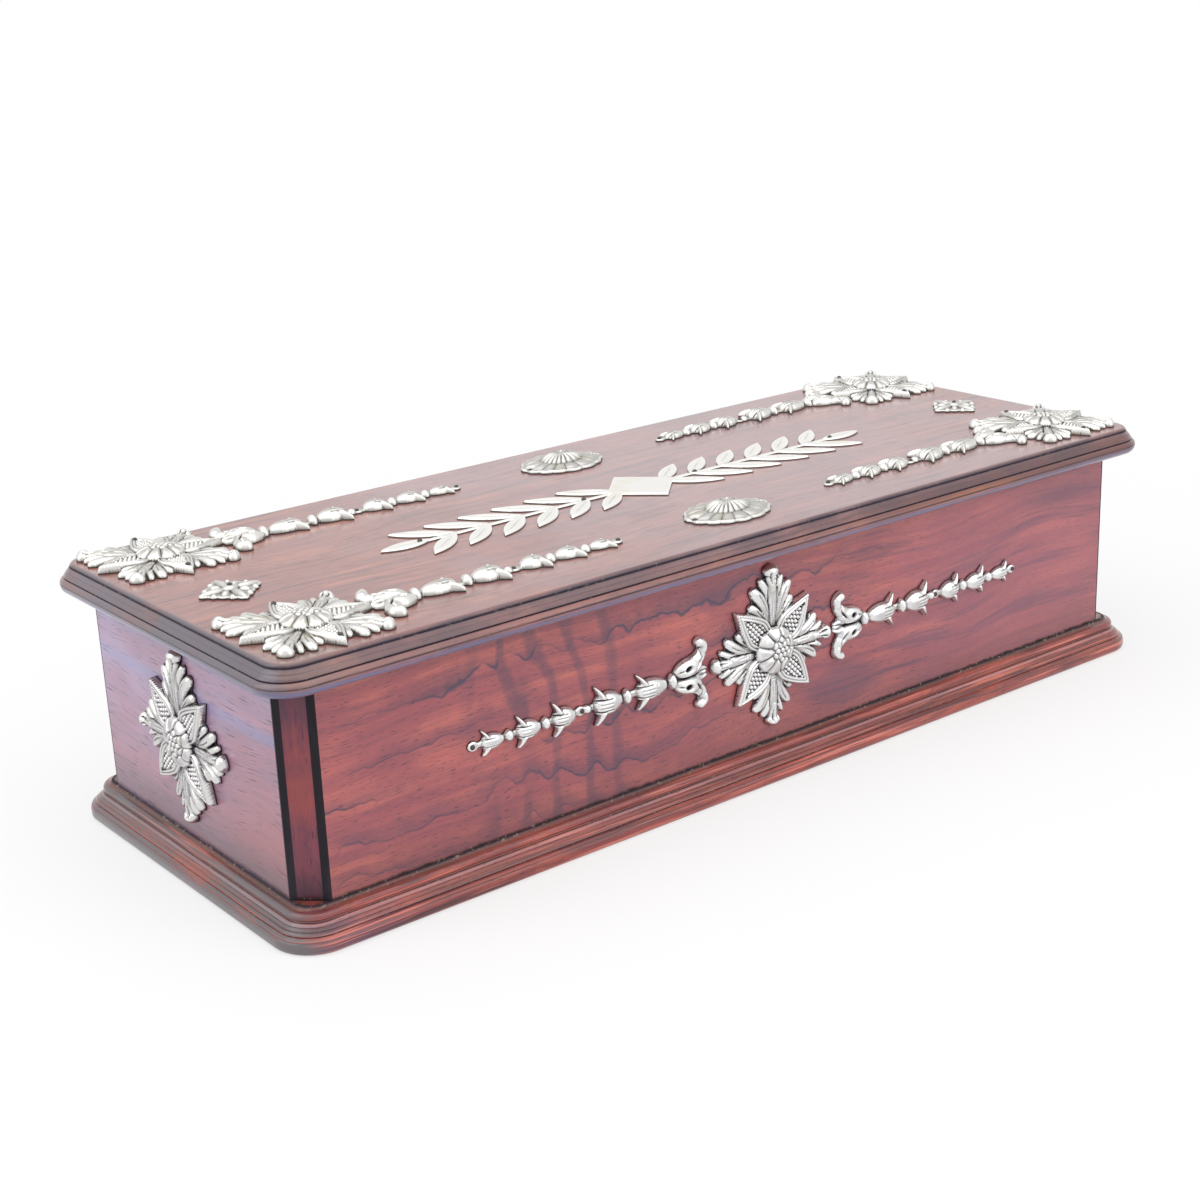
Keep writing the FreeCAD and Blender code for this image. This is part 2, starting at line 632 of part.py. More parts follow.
for along, side_name in zip(SIDES, ("left", "right")):
    mount_places.append((f"lid_lozenge_{side_name}", lozenge_set, "lid",
                         (f"{along} * {LID_ROSETTE_X}", "0", LID_TOP), FACE_TOP))
mount_places.append(("lid_spray", spray_set, "lid", ("0", "0", LID_TOP), FACE_TOP))

mount_pins = {"lid": [], "box": []}
mount_bores = {"lid": [], "front": [], "left": [], "right": []}
for label, (shape, pins, bores), carrier, place, rotation in mount_places:
    node(group(label, [shape], place, rotation), label)
    owner = "lid" if carrier == "lid" else "box"
    mount_pins[owner].append(group(f"{label}_pins", [pins], place, rotation))
    mount_bores[carrier].append(group(f"{label}_bores", [bores], place, rotation))
node(group("lid_mount_pins", mount_pins["lid"]), "lid_mount_pins")
node(group("box_mount_pins", mount_pins["box"]), "box_mount_pins")

# Screws up through the plinth board into the walls
base_screw, base_hole = screw("base_screw", "base_screw_head_radius", "base_screw_head_depth",
                              "base_screw_radius", "base_screw_length")
SCREW_Y = "(box_width / 2 - wall_thickness / 2)"
screw_places = [(f"{along} * base_screw_pitch", f"{across} * {SCREW_Y}") for across in SIDES
                for along in THIRDS]
screw_places += [(f"{along} * (box_length / 2 - wall_thickness / 2)", "0") for along in SIDES]
HEAD_DOWN = turned(("x", HALF_TURN))
base_screws, base_holes = [], []
for index, (along, across) in enumerate(screw_places):
    base_screws.append(group(f"base_screw{index}", [base_screw], (along, across, "0"), HEAD_DOWN))
    base_holes.append(group(f"base_hole{index}", [base_hole], (along, across, "0"), HEAD_DOWN))
node(group("base_screws", base_screws), "base_screws")
base_hole_set = group("base_holes", base_holes)

# Plinth board with its moulded edge
BEAD_TOP = "plinth_height - ledge_fall"
SHELF_TOP = f"({BEAD_TOP} - bead_height)"
FILLET_FOOT = f"({SHELF_TOP} - shelf_fall - fillet_height)"
SHOULDER_TOP = f"({FILLET_FOOT} - plinth_quirk)"
plinth_profile = [
    ("plinth_overhang - toe_radius", "0"),
    ("plinth_overhang", "toe_radius", "plinth_overhang - toe_radius"),
    ("plinth_overhang", f"{SHOULDER_TOP} - shoulder_radius"),
    ("plinth_overhang - shoulder_radius", SHOULDER_TOP, "plinth_overhang - shoulder_radius"),
    ("fillet_overhang - plinth_quirk", f"{FILLET_FOOT} - plinth_quirk / 2"),
    ("fillet_overhang", FILLET_FOOT),
    ("shelf_overhang", f"{SHELF_TOP} - shelf_fall"),
    ("bead_overhang", SHELF_TOP),
    ("bead_overhang - plinth_quirk", f"{SHELF_TOP} + plinth_quirk / 2"),
    ("bead_overhang", f"{SHELF_TOP} + plinth_quirk"),
    ("bead_overhang", f"{BEAD_TOP} - bead_radius"),
    ("bead_overhang - bead_radius", BEAD_TOP, "bead_overhang - bead_radius"),
    ("0", "plinth_height"),
]
plinth = moulded_board("plinth_blank", "plinth_corner_radius", plinth_profile, "0", "plinth_height")
node(cut("base_board", plinth, base_hole_set), "base_board")

# Hinges: leaves let flush into wall and lid, three knuckles on one pin
hinge_screw, hinge_hole = screw("hinge_screw", "hinge_screw_head_radius", "hinge_screw_head_depth",
                                "hinge_screw_radius", "hinge_screw_length")
ALONG_X = turned(("y", QUARTER_TURN))
LEAF_BACK = "(box_width / 2 - hinge_reach)"
leaf_rooms = {"box": [], "lid": []}
hinge_screws = {"box": [], "lid": []}
hinge_holes = {"box": [], "lid": []}
for along, side_name in zip(SIDES, ("left", "right")):
    middle = f"{along} * hinge_offset"
    start, end = f"{middle} - hinge_length / 2", f"{middle} + hinge_length / 2"
    inner_start, inner_end = f"{middle} - knuckle_length / 2", f"{middle} + knuckle_length / 2"
    tag = f"{side_name}_hinge"
    bore = bar(f"{tag}_bore", "hinge_pin_radius + running_clearance", "hinge_length", (start, AXIS_Y, AXIS_Z),
               ALONG_X)
    outer = []
    for index, (low, high) in enumerate(((start, f"{inner_start} - knuckle_gap"),
                                         (f"{inner_end} + knuckle_gap", end))):
        outer.append(bar(f"{tag}_outer{index}", "knuckle_radius", f"({high}) - ({low})",
                         (low, AXIS_Y, AXIS_Z), ALONG_X))
    inner = bar(f"{tag}_inner", "knuckle_radius", "knuckle_length", (inner_start, AXIS_Y, AXIS_Z), ALONG_X)
    inner_room = bar(f"{tag}_inner_room", "knuckle_radius + knuckle_room", "knuckle_length + 2 * knuckle_gap",
                     (f"{inner_start} - knuckle_gap", AXIS_Y, AXIS_Z), ALONG_X)
    outer_rooms = [bar(f"{tag}_outer_room{index}", "knuckle_radius + knuckle_room",
                       f"({high}) - ({low})", (low, AXIS_Y, AXIS_Z), ALONG_X)
                   for index, (low, high) in enumerate(((start, inner_start), (inner_end, end)))]
    barrel_room = bar(f"{tag}_barrel_room", "knuckle_radius + knuckle_room", "hinge_length",
                      (start, AXIS_Y, AXIS_Z), ALONG_X)
    for owner, low, high, seat, knuckles, rooms, head in (
            ("box", f"{WALL_TOP} - leaf_thickness", WALL_TOP, WALL_TOP, outer, [inner_room], FACE_TOP),
            ("lid", LID_BOTTOM, f"{LID_BOTTOM} + leaf_thickness", LID_BOTTOM, [inner], outer_rooms,
             HEAD_DOWN)):
        name = f"{tag}_{owner}"
        plate = block(f"{name}_plate", (start, LEAF_BACK, low), (end, AXIS_Y, high))
        trimmed = cut(f"{name}_trimmed", plate, group(f"{name}_rooms", rooms))
        blank = boolean("MultiFuse", f"{name}_blank", [trimmed, *knuckles])
        holes, screws = [], []
        for step in THIRDS:
            place = (f"{middle} + {step} * hinge_screw_pitch", "box_width / 2 - hinge_screw_setback", seat)
            screws.append(group(f"{name}_screw{step + 1}", [hinge_screw], place, head))
            holes.append(group(f"{name}_hole{step + 1}", [hinge_hole], place, head))
        bores = group(f"{name}_bores", [bore, *holes])
        node(cut(f"{name}_leaf", blank, bores), f"{tag}_{owner}_leaf")
        room = block(f"{name}_bed", (start, LEAF_BACK, low), (end, f"{AXIS_Y} - knuckle_radius", high))
        leaf_rooms[owner] += [room, barrel_room]
        hinge_screws[owner] += screws
        hinge_holes[owner] += holes
    node(bar(f"{tag}_pin", "hinge_pin_radius", "hinge_length", (start, AXIS_Y, AXIS_Z), ALONG_X),
         f"{tag}_pin")
for owner in ("box", "lid"):
    node(group(f"hinge_screws_{owner}", hinge_screws[owner]), f"hinge_screws_{owner}")

# Walls with tongues that enter the corner posts
wall_tools = {
    "front": [base_hole_set, *mount_bores["front"]],
    "back": [base_hole_set, *leaf_rooms["box"], *hinge_holes["box"]],
    "left": [base_hole_set, *mount_bores["left"]],
    "right": [base_hole_set, *mount_bores["right"]],
}
for across, name in zip(SIDES, ("front", "back")):
    outer_y, inner_y = f"{across} * box_width / 2", f"{across} * (box_width / 2 - wall_thickness)"
    low_y, high_y = (outer_y, inner_y) if across < 0 else (inner_y, outer_y)
    end_x = f"(box_length / 2 - {POST_REACH})"
    panel = block(f"{name}_panel", (f"-{end_x}", low_y, "plinth_height"), (end_x, high_y, WALL_TOP))
    tongue_x = f"(box_length / 2 - {TONGUE_END})"
    edges = sorted((f"{across} * (box_width / 2 - tongue_setback)",
                    f"{across} * (box_width / 2 - {TONGUE_BACK})"), key=value)
    tongue = block(f"{name}_tongue", (f"-{tongue_x}", edges[0], "plinth_height"),
                   (tongue_x, edges[1], WALL_TOP))
    blank = boolean("MultiFuse", f"{name}_blank", [panel, tongue])
    tools = boolean("MultiFuse", f"{name}_tools", wall_tools[name])
    node(cut(f"{name}_wall", blank, tools), f"{name}_wall")
for along, name in zip(SIDES, ("left", "right")):
    outer_x, inner_x = f"{along} * box_length / 2", f"{along} * (box_length / 2 - wall_thickness)"
    low_x, high_x = (outer_x, inner_x) if along < 0 else (inner_x, outer_x)
    end_y = f"(box_width / 2 - {POST_REACH})"
    panel = block(f"{name}_panel", (low_x, f"-{end_y}", "plinth_height"), (high_x, end_y, WALL_TOP))
    tongue_y = f"(box_width / 2 - {TONGUE_END})"
    edges = sorted((f"{along} * (box_length / 2 - tongue_setback)",
                    f"{along} * (box_length / 2 - {TONGUE_BACK})"), key=value)
    tongue = block(f"{name}_tongue", (edges[0], f"-{tongue_y}", "plinth_height"),
                   (edges[1], tongue_y, WALL_TOP))
    blank = boolean("MultiFuse", f"{name}_blank", [panel, tongue])
    tools = boolean("MultiFuse", f"{name}_tools", wall_tools[name])
    node(cut(f"{name}_wall", blank, tools), f"{name}_wall")

# Corner posts with their black strings, in depths from the sharp corner
POST_DEPTHS = (
    (STRING_LEG, f"cant_leg - {STRING_LEG}"),
    (f"cant_leg - {STRING_LEG}", STRING_LEG),
    (POST_REACH, STRING_LEG),
    (POST_REACH, "tongue_setback"),
    (TONGUE_END, "tongue_setback"),
    (TONGUE_END, TONGUE_BACK),
    (POST_REACH, TONGUE_BACK),
    (POST_REACH, "wall_thickness"),
    ("wall_thickness", "wall_thickness"),
    ("wall_thickness", POST_REACH),
    (TONGUE_BACK, POST_REACH),
    (TONGUE_BACK, TONGUE_END),
    ("tongue_setback", TONGUE_END),
    ("tongue_setback", POST_REACH),
    (STRING_LEG, POST_REACH),
)
END_STRING_DEPTHS = (
    ("0", "cant_leg"),
    (STRING_LEG, f"cant_leg - {STRING_LEG}"),
    (STRING_LEG, POST_REACH),
    ("0", POST_REACH),
)
SIDE_STRING_DEPTHS = tuple((second, first) for first, second in reversed(END_STRING_DEPTHS))
for across, depth_name in zip(SIDES, ("front", "back")):
    for along, side_name in zip(SIDES, ("left", "right")):
        corner = f"{depth_name}_{side_name}"
        for label, depths in ((f"corner_post_{corner}", POST_DEPTHS),
                              (f"end_string_{corner}", END_STRING_DEPTHS),
                              (f"side_string_{corner}", SIDE_STRING_DEPTHS)):
            section = corner_section(along, across, depths)
            node(upright(f"{label}_body", section, "plinth_height", "wall_height"), label)

# Lid board with its moulded edge
NOSE_IN = "lid_overhang - nose_radius"
NOSE_TOP = f"{LID_BOTTOM} + 2 * nose_radius"
LOWER_BAND = f"{NOSE_TOP} + quirk_rise"
UPPER_BAND = f"{LOWER_BAND} + band_rise + quirk_rise"
FIELD_FOOT = f"{UPPER_BAND} + band_rise"
lid_profile = [
    (NOSE_IN, LID_BOTTOM),
    (NOSE_IN, NOSE_TOP, NOSE_IN),
    (f"{NOSE_IN} - quirk_depth", f"{NOSE_TOP} + quirk_rise / 2"),
    ("lower_band_overhang", LOWER_BAND),
    ("lower_band_overhang - band_slope", f"{LOWER_BAND} + band_rise"),
    ("lower_band_overhang - band_slope - quirk_depth", f"{UPPER_BAND} - quirk_rise / 2"),
    ("upper_band_overhang", UPPER_BAND),
    ("upper_band_overhang - band_slope", FIELD_FOOT),
    ("field_overhang", FIELD_FOOT),
    ("field_overhang", LID_TOP),
]
lid = moulded_board("lid_blank", "lid_corner_radius", lid_profile, LID_BOTTOM, LID_THICKNESS)
lid_tools = boolean("MultiFuse", "lid_tools", [*leaf_rooms["lid"], *hinge_holes["lid"], *mount_bores["lid"]])
node(cut("lid_board", lid, lid_tools), "lid_board")

# Cloth-covered linings
INNER_X = "(box_length / 2 - wall_thickness)"
INNER_Y = "(box_width / 2 - wall_thickness)"
FLOOR_TOP = "plinth_height + lining_thickness"
LINING_TOP = f"{WALL_TOP} - lining_drop"
node(block("lining_floor", (f"-{INNER_X}", f"-{INNER_Y}", "plinth_height"), (INNER_X, INNER_Y, FLOOR_TOP)),
     "floor_lining")
for across, name in zip(SIDES, ("front", "back")):
    edges = sorted((f"{across} * {INNER_Y}", f"{across} * ({INNER_Y} - lining_thickness)"), key=value)
    node(block(f"lining_{name}", (f"-{INNER_X}", edges[0], FLOOR_TOP), (INNER_X, edges[1], LINING_TOP)),
         f"{name}_lining")
for along, name in zip(SIDES, ("left", "right")):
    edges = sorted((f"{along} * {INNER_X}", f"{along} * ({INNER_X} - lining_thickness)"), key=value)
    end_y = f"({INNER_Y} - lining_thickness)"
    node(block(f"lining_{name}", (edges[0], f"-{end_y}", FLOOR_TOP), (edges[1], end_y, LINING_TOP)),
         f"{name}_lining")
LID_LINING_X = f"({INNER_X} - lining_thickness - lid_lining_margin)"
LID_LINING_Y = f"({INNER_Y} - lining_thickness - lid_lining_margin)"
node(block("lining_lid", (f"-{LID_LINING_X}", f"-{LID_LINING_Y}", f"{LID_BOTTOM} - lining_thickness"),
           (LID_LINING_X, LID_LINING_Y, LID_BOTTOM)), "lid_lining")

doc.recompute()
for obj in doc.Objects:
    if "Invalid" in obj.State or "Error" in obj.State:
        raise RuntimeError(f"{obj.Label} did not recompute: {obj.State}")
for obj in nodes:
    if obj.Shape.isNull() or not obj.Shape.isValid() or not obj.Shape.Solids:
        raise RuntimeError(f"{obj.Label} has no sound shape")

os.makedirs("parts", exist_ok=True)
for obj in nodes:
    obj.Shape.exportStep(f"parts/{obj.Label}.step")
    print(f"{obj.Label}: {len(obj.Shape.Solids)} solid(s), {obj.Shape.Volume:.1f} cubic mm")
print(f"{len(nodes)} nodes")
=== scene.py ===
"""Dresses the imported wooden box: mouldings, wood figure, stamped silver mounts, linings.

Metres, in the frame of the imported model: +X along the length, -Y out of the front, +Z up.
Sizes in the classes are millimetres and are turned into metres when a mesh is made.
"""

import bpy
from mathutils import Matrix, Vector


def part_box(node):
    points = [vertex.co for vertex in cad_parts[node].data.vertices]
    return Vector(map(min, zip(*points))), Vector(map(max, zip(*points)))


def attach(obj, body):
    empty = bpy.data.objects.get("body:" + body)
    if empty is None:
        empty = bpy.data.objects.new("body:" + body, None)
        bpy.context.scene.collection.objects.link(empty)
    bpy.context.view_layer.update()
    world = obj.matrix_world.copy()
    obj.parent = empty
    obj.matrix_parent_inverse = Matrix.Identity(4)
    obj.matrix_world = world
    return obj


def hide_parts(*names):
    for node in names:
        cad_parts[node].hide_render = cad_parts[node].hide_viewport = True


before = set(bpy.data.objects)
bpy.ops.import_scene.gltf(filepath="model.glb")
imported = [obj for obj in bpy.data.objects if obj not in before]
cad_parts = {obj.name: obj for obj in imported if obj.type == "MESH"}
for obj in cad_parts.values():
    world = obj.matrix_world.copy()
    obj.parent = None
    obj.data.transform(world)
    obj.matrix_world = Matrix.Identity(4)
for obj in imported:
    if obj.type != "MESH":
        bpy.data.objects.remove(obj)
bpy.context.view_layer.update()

import logging
import math
from abc import ABC, abstractmethod
from dataclasses import dataclass, field
from enum import Enum

import bmesh
import bpy
import numpy as np
from mathutils import Matrix, Vector

LOG = logging.getLogger("wooden_box")
MM = 0.001
SIDES = (-1, 1)
QUARTER = 90.0
HALF = 180.0
# The recess attribute paints shade in hollows; on the boards it also holds dirt and, below 0, a painted sheen
RECESS = "recess"
GIRTH = "girth"
RUN = "run"
ROW_SHARE = 0.87
FAR_OUTSIDE = -1e3

Colour = tuple[float, float, float]
Triple = tuple[float, float, float]
Point = tuple[float, float]
Grid = np.ndarray
Field = tuple[Grid, Grid]
Socket = bpy.types.NodeSocket
Node = bpy.types.Node
Tree = bpy.types.NodeTree
Material = bpy.types.Material
Shape = bmesh.types.BMesh

# Spans of height on a wall, in metres, and colours of painted shade, dirt and dust

FOOT_SHADE_SPAN = (0.012, 0.028)
FOOT_DIRT_SPAN = (0.0121, 0.0135)
UNDER_LID_SPAN = (0.0715, 0.078)
WALL_TOP_SPAN = (0.0774, 0.0779)
# Heights over which the painted sheen on an end wall grows
LOW_SHEEN_SPAN = (0.012, 0.05)
# FOOT_SHADE is painted shade at the foot of a wall and under the lid
FOOT_SHADE: Colour = (0.060, 0.014, 0.022)
FOOT_DIRT: Colour = (0.016, 0.008, 0.007)
FOOT_DUST: Colour = (0.34, 0.27, 0.17)
# Colour of dirt and painted shade in the quirks of the mouldings
QUIRK_DIRT_AND_SHADE: Colour = (0.021, 0.012, 0.026)
QUIRK_DUST: Colour = (0.36, 0.31, 0.24)
PILE_ROOT: Colour = (0.02, 0.002, 0.003)
WHITE: Colour = (1.0, 1.0, 1.0)


class Body(Enum):
    """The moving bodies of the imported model."""

    BOX = "box"
    LID = "lid"


class Facing(Enum):
    """Turns in degrees about X, then about Z, that lay a mount on a face of the box."""

    FRONT = (QUARTER, 0.0)
    LEFT = (QUARTER, -QUARTER)
    RIGHT = (QUARTER, QUARTER)
    TOP = (0.0, 0.0)


# Shader graphs


class Graph:
    """Adds nodes to one node tree and joins them."""

    def __init__(self, tree: Tree) -> None:
        """Keeps the tree that the nodes go into."""
        self.tree = tree

    def node(self, kind: str, inputs: dict | None = None, **settings: object) -> Node:
        """Adds a node.

        Args:
            kind: Blender's name of the node type.
            inputs: values or sockets for its inputs, by name or number.
            settings: the node's own properties.

        Returns:
            The new node.
        """
        made = self.tree.nodes.new(kind)
        for name, setting in settings.items():
            setattr(made, name, setting)
        self.fill(made, inputs or {})
        return made

    def fill(self, node: Node, values: dict) -> None:
        """Feeds several inputs of a node, by name or number."""
        for key, value in values.items():
            self.feed(node.inputs[key], value)

    def feed(self, socket: Socket, value: object) -> None:
        """Links a socket, or sets its value.

        Args:
            socket: the input to feed.
            value: another node's socket, a number, or a colour or vector.
        """
        if isinstance(value, Socket):
            self.tree.links.new(value, socket)
        elif socket.type == "RGBA" and len(value) == 3:
            socket.default_value = (*value, 1.0)
        else:
            socket.default_value = value

    def math(self, operation: str, first: object, second: object = 0.0, clamp: bool = False) -> Socket:
        """Works out one sum of two values."""
        made = self.node("ShaderNodeMath", {0: first, 1: second}, operation=operation, use_clamp=clamp)
        return made.outputs[0]

    def times(self, first: object, second: object, clamp: bool = False) -> Socket:
        """Multiplies two values."""
        return self.math("MULTIPLY", first, second, clamp)

    def vector(self, operation: str, first: object, second: object = (0.0, 0.0, 0.0)) -> Node:
        """Works out one sum of two vectors."""
        return self.node("ShaderNodeVectorMath", {0: first, 1: second}, operation=operation)

    def split(self, vector: object) -> list[Socket]:
        """Gives the three parts of a vector."""
        return list(self.node("ShaderNodeSeparateXYZ", {0: vector}).outputs)

    def joined(self, x: object, y: object, z: object) -> Socket:
        """Makes a vector of three parts."""
        return self.node("ShaderNodeCombineXYZ", {0: x, 1: y, 2: z}).outputs[0]

    def attribute(self, name: str) -> Socket:
        """Reads a value that is kept on the piece's vertices."""
        return self.node("ShaderNodeAttribute", attribute_name=name).outputs["Fac"]

    def scaled(self, value: object, factor: object, plus: object = 0.0) -> Socket:
        """Multiplies a value by a factor and adds to it."""
        made = self.node("ShaderNodeMath", {0: value, 1: factor, 2: plus}, operation="MULTIPLY_ADD")
        return made.outputs[0]

    def step(self, value: object, low: float, high: float, bottom: float = 0.0, top: float = 1.0) -> Socket:
        """Goes smoothly from bottom to top while a value goes from low to high."""
        inputs = {0: value, 1: low, 2: high, 3: bottom, 4: top}
        return self.node("ShaderNodeMapRange", inputs, interpolation_type="SMOOTHSTEP").outputs[0]

    def noise(self, vector: object, scale: Triple, detail: float = 2.0,
              roughness: float = 0.5, distortion: float = 0.0) -> Socket:
        """Makes cloudy noise.

        Args:
            vector: the coordinates.
            scale: features per metre along each axis.
            detail: octaves.
            roughness: strength of the finer octaves.
            distortion: how far the noise bends itself.

        Returns:
            The socket with the noise, from 0 to 1.
        """
        stretched = self.node("ShaderNodeMapping", {"Vector": vector, "Scale": scale})
        made = self.node("ShaderNodeTexNoise", {
            "Vector": stretched.outputs[0], "Scale": 1.0, "Detail": detail, "Roughness": roughness,
            "Distortion": distortion})
        return made.outputs[0]

    def mix(self, factor: object, first: object, second: object) -> Socket:
        """Mixes two colours."""
        return self.node("ShaderNodeMix", {0: factor, 6: first, 7: second}, data_type="RGBA").outputs[2]

    def bump(self, height: object, strength: float, distance: float) -> Socket:
        """Turns a height into a bent normal."""
        inputs = {"Height": height, "Strength": strength, "Distance": distance}
        return self.node("ShaderNodeBump", inputs).outputs[0]


def new_material(name: str) -> tuple[Material, Graph, Node]:
    """Starts a material.

    Args:
        name: the finish's name.

    Returns:
        The material, its graph and its Principled shader.
    """
    material = bpy.data.materials.new(name)
    material.use_nodes = True
    return material, Graph(material.node_tree), material.node_tree.nodes["Principled BSDF"]


def new_group(name: str, inputs: dict[str, str], outputs: dict[str, str]) -> tuple[Tree, Graph, Node, Node]:
    """Starts a shader node group.

    Args:
        name: the group's name.
        inputs: socket types by name.
        outputs: socket types by name.

    Returns:
        The group, its graph, and its input and output nodes.
    """
    tree = bpy.data.node_groups.new(name, "ShaderNodeTree")
    for way, sockets in (("INPUT", inputs), ("OUTPUT", outputs)):
        for label, kind in sockets.items():
            tree.interface.new_socket(label, in_out=way, socket_type=f"NodeSocket{kind}")
    graph = Graph(tree)
    return tree, graph, graph.node("NodeGroupInput"), graph.node("NodeGroupOutput")


def object_coordinates(graph: Graph) -> Socket:
    """Gives the piece's own coordinates in metres."""
    return graph.node("ShaderNodeTexCoord").outputs["Object"]


def figure_group() -> Tree:
    """Makes the figure of rosewood, with the grain along X and the width of the board along Z.

    Returns:
        The group, which puts out colour, roughness, height and the mask of the pores.
    """
    vein_pitch, pore_depth_pitch, pore_width_pitch = 0.0122, 900.0, 2900.0
    colours = dict.fromkeys(("Light", "Mid", "Dark"), "Color")
    amounts = dict.fromkeys(("Veins", "Ripple", "Strokes", "Pores", "Pore Pitch"), "Float")
    tree, graph, given, result = new_group(
        "rosewood_figure", {"Vector": "Vector", **colours, **amounts},
        {"Color": "Color", "Roughness": "Float", "Height": "Float", "Pore": "Float"})
    place = given.outputs["Vector"]
    light, mid, dark = (given.outputs[name] for name in colours)
    along, deep, across = graph.split(place)
    bend = graph.scaled(graph.noise(place, (12.0, 8.0, 16.0), 1.0), 0.02, across)
    wiggle = graph.scaled(graph.noise(place, (26.0, 8.0, 26.0), 1.0), 0.014, bend)
    wiggle = graph.scaled(graph.noise(place, (110.0, 20.0, 66.0), 2.0), 0.0078, wiggle)
    wiggle = graph.math("ADD", wiggle, given.outputs["Ripple"])
    grain = graph.joined(along, deep, bend)

    streak = graph.noise(grain, (9.0, 60.0, 230.0), 5.0, 0.62)
    cloud = graph.noise(grain, (34.0, 12.0, 60.0), 4.0, 0.6)
    ring = graph.scaled(graph.noise(grain, (1.5, 2.0, 42.0), 1.0), 0.022, wiggle)
    turn = graph.math("FRACT", graph.math("DIVIDE", ring, vein_pitch))
    line = graph.step(graph.math("ABSOLUTE", graph.math("SUBTRACT", turn, 0.5)), 0.0, 0.066, 1.0, 0.0)
    shade = graph.times(graph.step(turn, 0.5, 0.95, 0.5, 0.0), graph.math("GREATER_THAN", turn, 0.5))
    broken = graph.step(graph.noise(grain, (16.0, 9.0, 60.0), 2.0), 0.38, 0.6)
    vein = graph.times(graph.math("MAXIMUM", line, shade), broken)
    vein = graph.times(vein, given.outputs["Veins"])
    stroke = graph.step(graph.noise(grain, (20.0, 40.0, 300.0), 3.0, 0.55), 0.5, 0.68)
    stroke = graph.times(stroke, given.outputs["Strokes"])
    dash = graph.joined(graph.times(along, given.outputs["Pore Pitch"]), graph.times(deep, pore_depth_pitch),
                        graph.times(bend, pore_width_pitch))
    pore = graph.step(graph.noise(dash, (1.0, 1.0, 1.0), 1.0), 0.63, 0.69)
    fibre = graph.noise(grain, (70.0, 400.0, 2300.0), 3.0, 0.65)
    pore = graph.times(pore, given.outputs["Pores"])

    colour = graph.mix(graph.step(streak, 0.32, 0.68), mid, light)
    colour = graph.mix(graph.step(cloud, 0.4, 0.64, 0.0, 0.7), colour, mid)
    colour = graph.mix(stroke, colour, dark)
    colour = graph.mix(graph.step(fibre, 0.36, 0.6, 0.2, 0.0), colour, dark)
    colour = graph.mix(vein, colour, dark)
    pore_colour = graph.mix(0.6, dark, (0.0, 0.0, 0.0))
    colour = graph.mix(pore, colour, pore_colour)
    graph.fill(result, {
        "Color": colour, "Roughness": graph.scaled(streak, 0.16, graph.scaled(pore, 0.2, 0.22)),
        "Height": graph.math("SUBTRACT", graph.times(streak, 0.35), pore), "Pore": pore})
    return tree


def tarnish_and_shade_group() -> Tree:
    """Makes masks of where metal has darkened in its hollows, tarnish with painted shade, and where its high
    places are rubbed bright, wear with a painted highlight.

    Returns:
        The group, which puts out the masks and a cloudy value.
    """
    tree, graph, given, result = new_group("hollow_tarnish_and_shade", {"Vector": "Vector"},
                                           {"Hollow": "Float", "Rubbed And Highlit": "Float", "Cloud": "Float"})
    hollow = graph.attribute(RECESS)
    cloud = graph.noise(given.outputs["Vector"], (130.0, 130.0, 130.0), 3.0)
    fine = graph.noise(given.outputs["Vector"], (900.0, 900.0, 900.0), 2.0)
    hollow = graph.scaled(cloud, 0.16, graph.scaled(fine, 0.1, graph.math("SUBTRACT", hollow, 0.13)))
    graph.fill(result, {"Hollow": graph.step(hollow, -0.02, 0.62), "Rubbed And Highlit": graph.step(hollow, 0.0, -0.5),
                        "Cloud": cloud})
    return tree


@dataclass(frozen=True)
class CrossBands:
    """Soft dark bands across the grain, over part of a board; sizes in metres."""

    centre: float = -0.090
    reach: float = 0.036
    pitch: float = 0.0132
    tilt: float = 0.10
    strength: float = 0.5
    swing: float = 0.0017

    def masks(self, graph: Graph, place: Socket) -> tuple[Socket, Socket]:
        """Makes the bands' mask, and how far the veins swing across the bands.

        Args:
            graph: the graph to add to.
            place: coordinates, with the grain along X.

        Returns:
            The sockets with the mask and with the swing in metres.
        """
        along, _, across = graph.split(place)
        wobble = graph.noise(place, (42.0, 5.0, 26.0), 2.0)
        shifted = graph.scaled(across, self.tilt, graph.scaled(wobble, 0.022, along))
        phase = graph.times(shifted, math.tau / self.pitch)
        off = graph.math("ABSOLUTE", graph.math("SUBTRACT", along, self.centre))
        here = graph.step(off, self.reach * 0.5, self.reach * 1.1, 1.0, 0.0)
        fade = graph.step(graph.noise(place, (34.0, 5.0, 34.0), 2.0), 0.34, 0.6, 0.15, self.strength)
        band = graph.step(graph.math("SINE", phase), 0.1, 1.0)
        band = graph.times(graph.times(band, here), fade)
        swing = graph.times(graph.math("COSINE", phase), graph.times(here, self.swing))
        return band, swing


@dataclass(frozen=True)
class Patch:
    """A soft coloured patch or stripe on a board; sizes in metres."""

    centre: Triple
    reach: Triple
    colour: Colour
    strength: float

    def over(self, graph: Graph, place: Socket, colour: Socket) -> Socket:
        """Lays the patch over a colour.

        Args:
            graph: the graph to add to.
            place: the piece's own coordinates.
            colour: the colour underneath.

        Returns:
            The socket with the patched colour.
        """
        off = graph.vector("SUBTRACT", place, self.centre).outputs[0]
        near = graph.vector("DIVIDE", off, self.reach).outputs[0]
        far = graph.vector("LENGTH", near).outputs["Value"]
        rough = graph.noise(place, (28.0, 28.0, 80.0), 3.0)
        edge = graph.scaled(rough, 1.4, graph.math("SUBTRACT", far, 0.7))
        return graph.mix(graph.step(edge, 0.2, 1.0, self.strength, 0.0), colour, self.colour)


